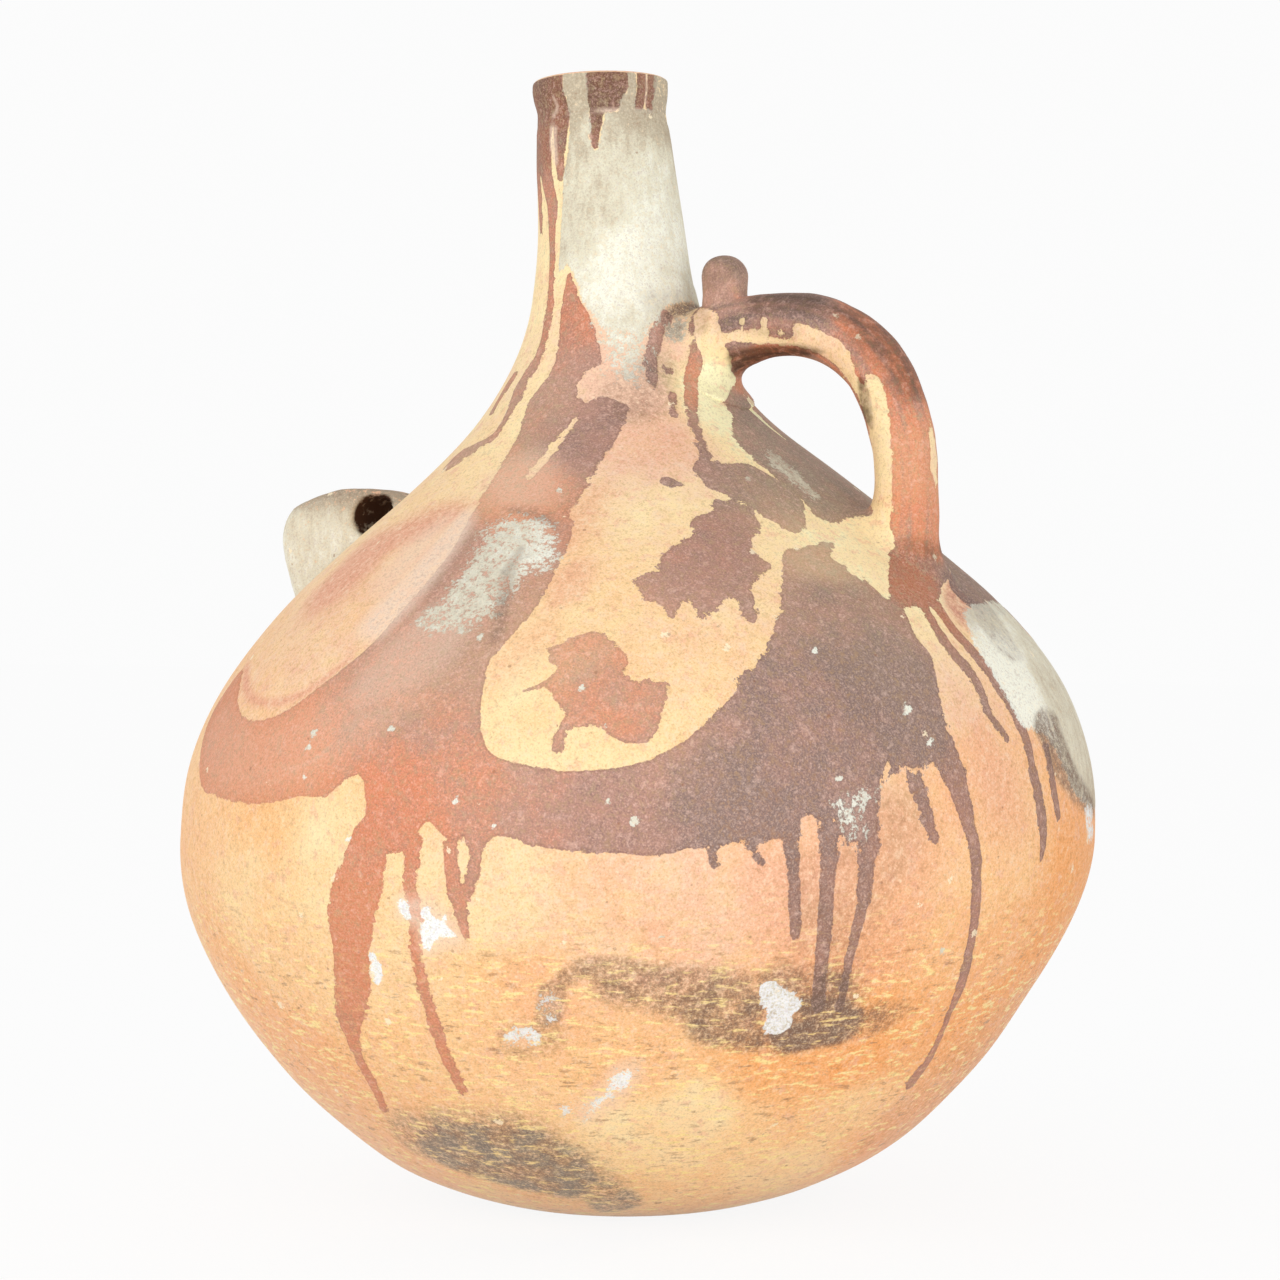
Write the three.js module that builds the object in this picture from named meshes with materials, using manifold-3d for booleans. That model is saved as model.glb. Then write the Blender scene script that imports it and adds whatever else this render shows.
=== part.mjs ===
// Terracotta water jug with a long neck, a coil handle and a pierced lug, in the pieces a hand builder
// makes one by one and lutes together: a base pad, a lower bowl, a shoulder, a neck, a rim collar, the
// handle with its thumb peg, and the lug.
// Millimetres, +Z up. The origin is on the ground under the middle of the widest ring. The handle points
// along +X and the lug along -X.

import * as THREE from 'three';
import { mergeVertices } from 'three/addons/utils/BufferGeometryUtils.js';
import Module from 'manifold-3d';

const wasm = await Module();
wasm.setup();

const { degToRad, smoothstep } = THREE.MathUtils;

// Outline of the vessel
const totalHeight = 450;
const footRadius = 49;
const bellyRadius = 184;
const bellyHeight = 146.5;
const throatRadius = 34;
const throatHeight = 362;
const collarRadius = 26.2;
const collarHeight = 16;
const lipRadius = 27;
const heelAngle = degToRad(9.5);
const throatTaper = degToRad(9.5);
const collarTaper = degToRad(5);

// How full each curve of the outline is, as shares of its own span
const heelFullness = 0.63;
const lowerBellyFullness = 0.25;
const upperBellyFullness = 0.515;
const throatFullness = 0.385;
const neckFullness = 0.35;

// Clay thickness
const padThickness = 11;
const bellyThickness = 9;
const throatThickness = 7.5;
const lipThickness = 6;

// The hand-built axis wanders sideways along X, and the lip is a little out of level
const footShift = -4.5;
const flankShift = 4;
const flankHeight = 235;
const throatShift = -9.4;
const lipShift = -16.8;
const lipTilt = degToRad(2.5);

// Luted joints: bevelled faces with a film of slip between them
const padReach = 26;
const seamBevel = 6;
const seamGap = 0.4;
const seatGap = 0.3;

// Coil handle from the throat to the shoulder, with its thumb peg
const coilDiameter = 25;
const handleTopDrop = 21;
const handleRise = 21;
const handleFullness = 0.62;
const handleBendHeight = 283;
const handleBendPull = 61;
const handleRootHeight = 262.5;
const throatFlare = 6;
const shoulderFlare = 1.5;
const flareLength = 24;
const pegDiameter = 19;
const pegRise = 19;
const pegSink = 6;
const pegStandOff = 2.9;

// Pierced lug, drawn on the slope of the wall: along it from the seat, and out from it
const lugSeatHeight = 260;
const lugToe = 28;
const lugHeel = 54;
const lugPeak = 20;
const lugStand = 46.5;
const lugNose = 13;
const lugWidth = 28;
const lugEdgeRadius = 10;
const lugBuried = 26;
const eyeSeatHeight = 265.5;
const eyeRadius = 8.5;
const eyeFlare = 2;
const eyeWall = 3.3;

// Facets
const turnSegments = 56;
const coilSides = 18;
const coilSteps = 30;
const eyeSides = 24;
const roundSteps = 6;
const lugCurveSteps = 9;
const wallSteps = { pad: 3, bowl: 12, shoulder: 18, neck: 7, collar: 3 };

// The outline of the wall, from the edge of the foot to the start of the lip
const collarBase = totalHeight - collarHeight;
const lipBase = totalHeight - lipThickness / 2;
const handleTopHeight = throatHeight - handleTopDrop;
const wall = outline();
const wallLength = wall.getLength();
const [bellySeam, throatSeam, collarSeam] = wall.getCurveLengths();

const thicknessAlong = new THREE.LinearInterpolant(
  [0, bellySeam, throatSeam, wallLength],
  [padThickness, bellyThickness, throatThickness, lipThickness],
  1,
);
const shiftAlong = new THREE.CubicInterpolant(
  [0, bellyHeight, flankHeight, throatHeight, totalHeight],
  [footShift, 0, flankShift, throatShift, lipShift],
  1,
);

function outline() {
  const bellyRise = throatHeight - bellyHeight;
  const neckRise = collarBase - throatHeight;
  const heelPull = heelFullness * (bellyRadius - footRadius);
  const throatPull = throatFullness * bellyRise;
  const neckPull = neckFullness * neckRise;
  const path = new THREE.Path();
  path.moveTo(footRadius, 0);
  path.bezierCurveTo(
    footRadius + heelPull * Math.cos(heelAngle), heelPull * Math.sin(heelAngle),
    bellyRadius, bellyHeight * (1 - lowerBellyFullness),
    bellyRadius, bellyHeight,
  );
  path.bezierCurveTo(
    bellyRadius, bellyHeight + upperBellyFullness * bellyRise,
    throatRadius + throatPull * Math.sin(throatTaper), throatHeight - throatPull * Math.cos(throatTaper),
    throatRadius, throatHeight,
  );
  path.bezierCurveTo(
    throatRadius - neckPull * Math.sin(throatTaper), throatHeight + neckPull * Math.cos(throatTaper),
    collarRadius + neckPull * Math.sin(collarTaper), collarBase - neckPull * Math.cos(collarTaper),
    collarRadius, collarBase,
  );
  path.lineTo(lipRadius, lipBase);
  return path;
}

// A point of the wall, so far along the outline and so far out from its outer face
function wallPoint(along, out = 0) {
  const share = along / wallLength;
  const tangent = wall.getTangent(share);
  return wall.getPoint(share).add(new THREE.Vector2(tangent.y, -tangent.x).multiplyScalar(out));
}

function innerPoint(along) {
  return wallPoint(along, -thicknessAlong.evaluate(along)[0]);
}

function between(from, to, steps, pointAt) {
  return Array.from({ length: steps + 1 }, (_, i) => pointAt(from + ((to - from) * i) / steps));
}

// The share of a curve at which a measure that grows along it reaches a value
function shareWhere(measure, value) {
  let low = 0;
  let high = 1;
  while (high - low > 1e-6) {
    const middle = (low + high) / 2;
    if (measure(middle) < value) low = middle;
    else high = middle;
  }
  return low;
}

// How far along the outline the wall reaches a height
function wallAlong(height) {
  return wallLength * shareWhere((share) => wall.getPoint(share).y, height);
}

// Where the outer face stands on the handle's side at a height
function wallX(height) {
  return wallPoint(wallAlong(height)).x + shiftAlong.evaluate(height)[0];
}

// The two faces of a seam: its outer edge lies lower than its inner edge, as in a bevelled lap
function seamEdge(along, side) {
  const middle = along + (side * seamGap) / 2;
  return { outer: middle - seamBevel / 2, inner: middle + seamBevel / 2 };
}

function weld(geometry) {
  geometry.deleteAttribute('normal');
  geometry.deleteAttribute('uv');
  const merged = mergeVertices(geometry, 1e-4);
  const kept = [];
  for (let i = 0; i < merged.index.count; i += 3) {
    const [a, b, c] = merged.index.array.slice(i, i + 3);
    if (a !== b && b !== c && c !== a) kept.push(a, b, c);
  }
  merged.setIndex(kept);
  return merged;
}

// Move a turned shape onto the wandering axis and tip its lip
function settle(geometry) {
  const place = geometry.getAttribute('position');
  for (let i = 0; i < place.count; i += 1) {
    const x = place.getX(i);
    const z = place.getZ(i);
    const tilt = Math.tan(lipTilt) * smoothstep(z, throatHeight, totalHeight);
    place.setX(i, x + shiftAlong.evaluate(z)[0]);
    place.setZ(i, z + x * tilt);
  }
  return geometry;
}

function turned(points) {
  return weld(new THREE.LatheGeometry(points, turnSegments).rotateX(Math.PI / 2));
}

// The stretch of wall that each ring takes, from the seam below it to the seam above it
const stretches = {
  pad: { lower: { outer: 0, inner: 0 }, upper: seamEdge(padReach, -1) },
  bowl: { lower: seamEdge(padReach, 1), upper: seamEdge(bellySeam, -1) },
  shoulder: { lower: seamEdge(bellySeam, 1), upper: seamEdge(throatSeam, -1) },
  neck: { lower: seamEdge(throatSeam, 1), upper: seamEdge(collarSeam, -1) },
  collar: { lower: seamEdge(collarSeam, 1), upper: { outer: wallLength, inner: wallLength } },
};

function outerSkin(name, out = 0) {
  const { lower, upper } = stretches[name];
  return between(lower.outer, upper.outer, wallSteps[name], (along) => wallPoint(along, out));
}

function innerSkin(name) {
  const { lower, upper } = stretches[name];
  return between(upper.inner, lower.inner, Math.ceil(wallSteps[name] / 2), innerPoint);
}

function wallRing(name) {
  const outer = outerSkin(name);
  return settle(turned([...outer, ...innerSkin(name), outer[0]]));
}

function basePad() {
  const inner = innerSkin('pad');
  const floor = new THREE.Vector2(0, inner.at(-1).y);
  return settle(turned([new THREE.Vector2(0, 0), ...outerSkin('pad'), ...inner, floor]));
}

function rimCollar() {
  const outer = outerSkin('collar');
  const inner = innerSkin('collar');
  const edge = outer.at(-1);
  const middle = edge.clone().add(inner[0]).divideScalar(2);
  const lip = between(0, Math.PI, roundSteps, (turn) => edge.clone().rotateAround(middle, turn));
  return settle(turned([...outer, ...lip.slice(1, -1), ...inner, outer[0]]));
}

// The whole vessel as one filled form, grown by the seat gap, for coping what is luted onto it
function vesselForm() {
  const skin = Object.keys(stretches).flatMap((name) => outerSkin(name, seatGap));
  const top = new THREE.Vector2(0, totalHeight);
  return settle(turned([new THREE.Vector2(0, 0), ...skin, top]));
}

function solidOf(geometry) {
  return new wasm.Manifold(
    new wasm.Mesh({
      numProp: 3,
      vertProperties: new Float32Array(geometry.getAttribute('position').array),
      triVerts: new Uint32Array(geometry.index.array),
    }),
  );
}

function geometryOf(solid) {
  const mesh = solid.getMesh();
  const geometry = new THREE.BufferGeometry();
  geometry.setAttribute('position', new THREE.BufferAttribute(mesh.vertProperties, 3));
  geometry.setIndex(new THREE.BufferAttribute(mesh.triVerts, 1));
  return geometry.toNonIndexed();
}

// A closed skin over a row of rings with as many points each, with a fan over each end
function loft(rings) {
  const sides = rings[0].length;
  const sumOf = (ring) => ring.reduce((sum, point) => sum.add(point), new THREE.Vector3());
  const middles = [rings[0], rings.at(-1)].map((ring) => sumOf(ring).divideScalar(sides));
  const points = [...rings.flat(), ...middles];
  const first = rings.length * sides;
  const last = first - sides;
  const faces = [];
  for (let j = 0; j < sides; j += 1) {
    const next = (j + 1) % sides;
    for (let a = 0; a < last; a += sides) {
      faces.push(a + j, a + sides + j, a + next, a + next, a + sides + j, a + sides + next);
    }
    faces.push(first, j, next, first + 1, last + next, last + j);
  }
  return new THREE.BufferGeometry().setFromPoints(points).setIndex(faces);
}

// A round bar along a curve in the XZ plane, with a radius that may change along it
function bar(curve, radiusAt) {
  return loft(between(0, 1, coilSteps, (share) => {
    const centre = curve.getPointAt(share);
    const along = curve.getTangentAt(share);
    const across = new THREE.Vector3(-along.z, 0, along.x);
    const radius = radiusAt(share);
    return Array.from({ length: coilSides }, (_, j) => {
      const turn = (2 * Math.PI * j) / coilSides;
      const point = centre.clone().addScaledVector(across, radius * Math.cos(turn));
      point.y += radius * Math.sin(turn);
      return point;
    });
  }));
}

// The handle leaves the throat, rises to its crown and drops onto the shoulder
function handleCurve() {
  const throatX = wallX(handleTopHeight);
  const rootX = wallX(handleRootHeight);
  const crownX = THREE.MathUtils.lerp(throatX, rootX, handleFullness);
  const buried = coilDiameter / 2;
  const at = (x, z) => new THREE.Vector3(x, 0, z);
  const bend = at(rootX, handleBendHeight);
  const path = new THREE.CurvePath();
  path.add(new THREE.CubicBezierCurve3(
    at(throatX - buried, handleTopHeight),
    at(crownX, handleTopHeight + handleRise),
    at(rootX, handleBendHeight + handleBendPull),
    bend,
  ));
  path.add(new THREE.LineCurve3(bend, at(rootX, handleRootHeight - buried)));
  return path;
}

function handleBar(grown) {
  const curve = handleCurve();
  const length = curve.getLength();
  const buried = coilDiameter / 2;
  const flareAt = (flare, distance) => flare * (1 - smoothstep(distance, buried, buried + flareLength));
  const radiusAt = (share) => coilDiameter / 2 + grown
    + flareAt(throatFlare, share * length)
    + flareAt(shoulderFlare, (1 - share) * length);
  return solidOf(bar(curve, radiusAt));
}

// A domed peg on the crown of the handle, with its foot standing clear of the wall beside it
function thumbPeg() {
  const curve = handleCurve();
  const radius = pegDiameter / 2;
  const seatAt = (share) => curve.getPointAt(share).add(new THREE.Vector3(0, 0, coilDiameter / 2));
  const gapAt = (seat) => seat.x - radius - wallX(seat.z - pegSink);
  const seat = seatAt(shareWhere((share) => gapAt(seatAt(share)), pegStandOff));
  const foot = seat.z - pegSink;
  const top = seat.z + pegRise;
  const dome = between(0, Math.PI / 2, roundSteps, (turn) => new THREE.Vector2(
    radius * Math.cos(turn),
    top - radius + radius * Math.sin(turn),
  ));
  const profile = [new THREE.Vector2(0, foot), new THREE.Vector2(radius, foot), ...dome];
  profile.at(-1).x = 0;
  const peg = weld(new THREE.LatheGeometry(profile, coilSides).rotateX(Math.PI / 2).translate(seat.x, 0, 0));
  return solidOf(peg).subtract(handleBar(seatGap));
}

// A place on the lug's side of the wall: so far out from the outer face at a height
function lugPlace(height, out) {
  const spot = wallPoint(wallAlong(height), out);
  return new THREE.Vector3(shiftAlong.evaluate(height)[0] - spot.x, 0, spot.y);
}

// The side of the lug on the slope of the wall, longer down the wall than up it
function lugSide() {
  const side = new THREE.Shape();
  side.moveTo(lugToe, -lugBuried);
  side.lineTo(lugToe, 0);
  side.bezierCurveTo(lugToe - lugNose, lugStand / 2, 0, lugStand - lugNose / 2, -lugPeak, lugStand);
  side.quadraticCurveTo(-lugPeak - lugNose, lugStand, -lugPeak - 1.5 * lugNose, lugStand - lugNose);
  side.quadraticCurveTo(-lugHeel + lugNose / 2, lugNose, -lugHeel, 0);
  side.lineTo(-lugHeel, -lugBuried);
  return side.getPoints(lugCurveSteps);
}

// A thumbed lump: its side drawn in towards its two faces by a round edge
function lugLump() {
  const seat = lugPlace(lugSeatHeight, 0);
  const out = lugPlace(lugSeatHeight, 1).sub(seat);
  const across = new THREE.Vector3(0, 1, 0);
  const up = new THREE.Vector3().crossVectors(across, out);
  const middle = new THREE.Vector2(0, lugStand / 3);
  const outline = lugSide();
  const layers = [-1, 1].flatMap((half) => between(0, 1, roundSteps, (share) => {
    const turn = (Math.PI / 2) * (half < 0 ? 1 - share : share);
    const inset = 1 - (lugEdgeRadius / lugStand) * (1 - Math.cos(turn));
    const y = half * (lugWidth / 2 - lugEdgeRadius * (1 - Math.sin(turn)));
    return outline.map((point) => {
      const drawn = point.clone().sub(middle).multiplyScalar(inset).add(middle);
      const onSlope = seat.clone().addScaledVector(up, drawn.x).addScaledVector(out, drawn.y);
      return onSlope.addScaledVector(across, y);
    });
  }));
  return loft(layers);
}

function lugEye() {
  const half = lugWidth / 2;
  const waist = between(-half - eyeFlare, half + eyeFlare, roundSteps, (y) => new THREE.Vector2(
    eyeRadius + eyeFlare * (y / half) ** 2,
    y,
  ));
  const ends = [waist[0], waist.at(-1)].map((end) => new THREE.Vector2(0, end.y));
  const eye = new THREE.LatheGeometry([ends[0], ...waist, ends[1]], eyeSides);
  const middle = lugPlace(eyeSeatHeight, eyeRadius + eyeWall);
  return weld(eye.translate(middle.x, middle.y, middle.z));
}

function clay(color, roughness) {
  return new THREE.MeshStandardMaterial({ color, roughness, metalness: 0 });
}

function piece(name, geometry, material) {
  const mesh = new THREE.Mesh(geometry, material);
  mesh.name = name;
  return mesh;
}

const terracotta = clay(0xd98b55, 0.6);
const redSlip = clay(0x8a5240, 0.7);
const limeWash = clay(0xcdbb9c, 0.85);
const paleClay = clay(0xcfc2b2, 0.8);

const form = solidOf(vesselForm());
const jug = new THREE.Group();
jug.add(
  piece('base_disc', basePad(), terracotta),
  piece('lower_bowl', wallRing('bowl'), terracotta),
  piece('shoulder', wallRing('shoulder'), terracotta),
  piece('neck', wallRing('neck'), limeWash),
  piece('rim_collar', rimCollar(), redSlip),
  piece('handle', geometryOf(handleBar(0).subtract(form)), redSlip),
  piece('thumb_knob', geometryOf(thumbPeg()), redSlip),
  piece('rope_lug', geometryOf(solidOf(lugLump()).subtract(solidOf(lugEye())).subtract(form)), paleClay),
);

export default jug;
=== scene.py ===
# A hand-built terracotta water jug with dripped slip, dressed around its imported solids.
# Shapes and marks are worked out in millimetres, +Z up, and become metres when a mesh is made.
# The handle points along +X and the lug along -X, as in the frame.

import math

import bpy
import numpy as np
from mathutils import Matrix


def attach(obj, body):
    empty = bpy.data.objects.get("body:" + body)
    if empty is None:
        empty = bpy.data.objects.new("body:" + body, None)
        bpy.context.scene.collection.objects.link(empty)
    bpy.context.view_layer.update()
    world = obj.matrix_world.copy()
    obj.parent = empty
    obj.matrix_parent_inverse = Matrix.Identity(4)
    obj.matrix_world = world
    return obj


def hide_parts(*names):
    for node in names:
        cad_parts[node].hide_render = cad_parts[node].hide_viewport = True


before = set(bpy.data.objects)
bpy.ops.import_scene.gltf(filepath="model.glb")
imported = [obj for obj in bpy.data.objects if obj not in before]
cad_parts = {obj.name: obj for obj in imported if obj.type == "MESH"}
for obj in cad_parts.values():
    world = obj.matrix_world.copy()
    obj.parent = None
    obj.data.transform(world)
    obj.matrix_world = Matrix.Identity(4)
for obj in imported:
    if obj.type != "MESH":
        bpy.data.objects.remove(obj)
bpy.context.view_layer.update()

MM = 0.001
# Distances from marks aren't followed further than this
FAR = 25.0

# Camera of the photograph, whose picture is 1280 px square
PICTURE = 1280
FOCAL_PX = 3218.0
EYE = np.array([651.5, -1125.0, 250.0])
YAW = math.radians(30.0)
PITCH = math.radians(1.126)
SENSOR = 36.0
RIGHT = np.array([math.cos(YAW), math.sin(YAW), 0.0])
FORWARD = np.array([-math.sin(YAW) * math.cos(PITCH), math.cos(YAW) * math.cos(PITCH), -math.sin(PITCH)])
UP = np.cross(RIGHT, FORWARD)

# Outline of the vessel, as in the solids
TOTAL_HEIGHT = 450.0
FOOT_RADIUS = 49.0
BELLY_RADIUS, BELLY_HEIGHT = 184.0, 146.5
THROAT_RADIUS, THROAT_HEIGHT = 34.0, 362.0
COLLAR_RADIUS, COLLAR_HEIGHT = 26.2, 16.0
LIP_RADIUS = 27.0
HEEL_ANGLE = math.radians(9.5)
THROAT_TAPER = math.radians(9.5)
COLLAR_TAPER = math.radians(5.0)
HEEL_FULLNESS, LOWER_BELLY_FULLNESS, UPPER_BELLY_FULLNESS = 0.63, 0.25, 0.515
THROAT_FULLNESS, NECK_FULLNESS = 0.385, 0.35
PAD_THICKNESS, BELLY_THICKNESS, THROAT_THICKNESS, LIP_THICKNESS = 11.0, 9.0, 7.5, 6.0
LIP_TILT = math.radians(2.5)
SHIFT_HEIGHTS = np.array([0.0, BELLY_HEIGHT, 235.0, THROAT_HEIGHT, TOTAL_HEIGHT])
SHIFTS = np.array([-4.5, 0.0, 4.0, -9.4, -16.8])
PAD_REACH = 26.0
SEAM_BEVEL = 6.0

# Handle, peg and lug, close to those of the solids
COIL_RADIUS = 12.5
HANDLE_TOP, HANDLE_RISE, HANDLE_FULLNESS = 341.0, 27.0, 0.62
HANDLE_BEND, HANDLE_BEND_PULL, HANDLE_ROOT = 283.0, 53.0, 262.5
PEG_RADIUS, PEG_X, PEG_TOP = 9.2, 40.9, 377.7
LUG_SEAT, LUG_TOE, LUG_HEEL, LUG_PEAK, LUG_STAND, LUG_NOSE = 260.0, 28.0, 54.0, 20.0, 46.5, 13.0
LUG_WIDTH, EYE_SEAT, EYE_RADIUS, EYE_WALL = 28.0, 265.5, 8.5, 3.3

# Mesh density: the side that the photograph shows is finer
FRONT_MIDDLE, FRONT_HALF = math.radians(-60.0), math.radians(102.0)
FRONT_COLUMNS, BACK_COLUMNS = 424, 120
ROW_STEP = 1.6
INNER_ROWS = 14


def smooth(value, low, high):
    t = np.clip((value - low) / (high - low), 0.0, 1.0)
    return t * t * (3.0 - 2.0 * t)


def bezier(points, count):
    a, b, c, d = np.array(points, float)
    t = np.linspace(0.0, 1.0, count)[:, None]
    return (1 - t) ** 3 * a + 3 * (1 - t) ** 2 * t * b + 3 * (1 - t) * t * t * c + t**3 * d


def outline():
    """The outer wall from the edge of the foot to the start of the lip, and how long each stretch is."""
    collar_base = TOTAL_HEIGHT - COLLAR_HEIGHT
    heel = HEEL_FULLNESS * (BELLY_RADIUS - FOOT_RADIUS)
    throat = THROAT_FULLNESS * (THROAT_HEIGHT - BELLY_HEIGHT)
    neck = NECK_FULLNESS * (collar_base - THROAT_HEIGHT)
    upper = UPPER_BELLY_FULLNESS * (THROAT_HEIGHT - BELLY_HEIGHT)
    turn_in = np.array([math.sin(THROAT_TAPER), -math.cos(THROAT_TAPER)])
    lean_in = np.array([math.sin(COLLAR_TAPER), -math.cos(COLLAR_TAPER)])
    foot = np.array([FOOT_RADIUS, 0.0])
    belly = np.array([BELLY_RADIUS, BELLY_HEIGHT])
    waist = np.array([THROAT_RADIUS, THROAT_HEIGHT])
    collar = np.array([COLLAR_RADIUS, collar_base])
    lip = np.array([LIP_RADIUS, TOTAL_HEIGHT - LIP_THICKNESS / 2])
    out_of_foot = heel * np.array([math.cos(HEEL_ANGLE), math.sin(HEEL_ANGLE)])
    stretches = [
        bezier([foot, foot + out_of_foot, belly - [0, LOWER_BELLY_FULLNESS * BELLY_HEIGHT], belly], 300),
        bezier([belly, belly + [0, upper], waist + throat * turn_in, waist], 300),
        bezier([waist, waist - neck * turn_in, collar + neck * lean_in, collar], 120),
        np.linspace(collar, lip, 20),
    ]
    points = np.vstack([stretches[0]] + [s[1:] for s in stretches[1:]])
    steps = np.hypot(*np.diff(points, axis=0).T)
    along = np.concatenate([[0.0], np.cumsum(steps)])
    ends = np.cumsum([len(s) - 1 for s in stretches])
    return points, along, along[ends]


WALL, ALONG, (BELLY_SEAM, THROAT_SEAM, COLLAR_SEAM, WALL_LENGTH) = outline()
TANGENT = np.gradient(WALL, ALONG, axis=0)
TANGENT /= np.hypot(*TANGENT.T)[:, None]


def wall_radius(along):
    return np.interp(along, ALONG, WALL[:, 0])


def wall_height(along):
    return np.interp(along, ALONG, WALL[:, 1])


def along_at(height):
    return np.interp(height, WALL[:, 1], ALONG)


def axis_shift(height):
    """How far the hand-built axis wanders along X: a cubic through the shifts, with mean slopes."""
    chords = np.diff(SHIFTS) / np.diff(SHIFT_HEIGHTS)
    slopes = np.concatenate([chords[:1], (chords[1:] + chords[:-1]) / 2, chords[-1:]])
    i = np.clip(np.searchsorted(SHIFT_HEIGHTS, height, side="right") - 1, 0, len(chords) - 1)
    span = SHIFT_HEIGHTS[i + 1] - SHIFT_HEIGHTS[i]
    t = (height - SHIFT_HEIGHTS[i]) / span
    ease = t * t * (3 - 2 * t)
    ends = SHIFTS[i] * (1 - ease) + SHIFTS[i + 1] * ease
    return ends + span * (slopes[i] * t * (1 - t) ** 2 - slopes[i + 1] * t * t * (1 - t))


def settle(radius, theta, height):
    """Points of a turned shape, moved onto the wandering axis, with the lip tipped."""
    x = radius * np.cos(theta)
    tilt = math.tan(LIP_TILT) * smooth(height, THROAT_HEIGHT, TOTAL_HEIGHT)
    return np.stack([x + axis_shift(height), radius * np.sin(theta), height + x * tilt], -1)


def wall_points(along, theta, out=0.0):
    side = [np.interp(along, ALONG, TANGENT[:, k]) for k in (0, 1)]
    return settle(wall_radius(along) + out * side[1], theta, wall_height(along) - out * side[0])


def thickness(along):
    stops = [0.0, BELLY_SEAM, THROAT_SEAM, WALL_LENGTH]
    return np.interp(along, stops, [PAD_THICKNESS, BELLY_THICKNESS, THROAT_THICKNESS, LIP_THICKNESS])


def wall_gap(points):
    """Signed distance to the outer wall, good near it."""
    height = points[:, 2]
    reach = np.hypot(points[:, 0] - axis_shift(height), points[:, 1])
    along = along_at(height)
    return (reach - wall_radius(along)) * np.abs(np.interp(along, ALONG, TANGENT[:, 1]))


# Where rays from the camera are tried, in mm from it
RAY_REACH, RAY_STEPS = (950.0, 1550.0), 2400


def on_wall(pixels):
    """Where the rays through points of the picture first meet the wall, as angle and distance along."""
    offset = (np.array(pixels, float)[:, :2] - PICTURE / 2) / FOCAL_PX
    ray = FORWARD + offset[:, :1] * RIGHT - offset[:, 1:] * UP
    reach = np.linspace(*RAY_REACH, RAY_STEPS)
    spots = EYE + reach[None, :, None] * ray[:, None, :]
    height = spots[..., 2]
    across = spots[..., 0] - axis_shift(height)
    height = height - across * math.tan(LIP_TILT) * smooth(height, THROAT_HEIGHT, TOTAL_HEIGHT)
    gap = np.hypot(across, spots[..., 1]) - wall_radius(along_at(height))
    first = np.where((gap < 0).any(1), (gap < 0).argmax(1), gap.argmin(1))
    row = np.arange(len(first))
    theta = np.arctan2(spots[row, first, 1], across[row, first])
    return theta, along_at(height[row, first])


def in_picture(points):
    """Where points stand in the picture. The handle, peg and lug are alike on both sides of the XZ plane."""
    near = points * [1.0, 0.0, 1.0] - np.abs(points) * [0.0, 1.0, 0.0]
    local = near - EYE
    depth = local @ FORWARD
    return np.stack([PICTURE / 2 + FOCAL_PX * (local @ RIGHT) / depth,
                     PICTURE / 2 - FOCAL_PX * (local @ UP) / depth], -1)


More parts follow.
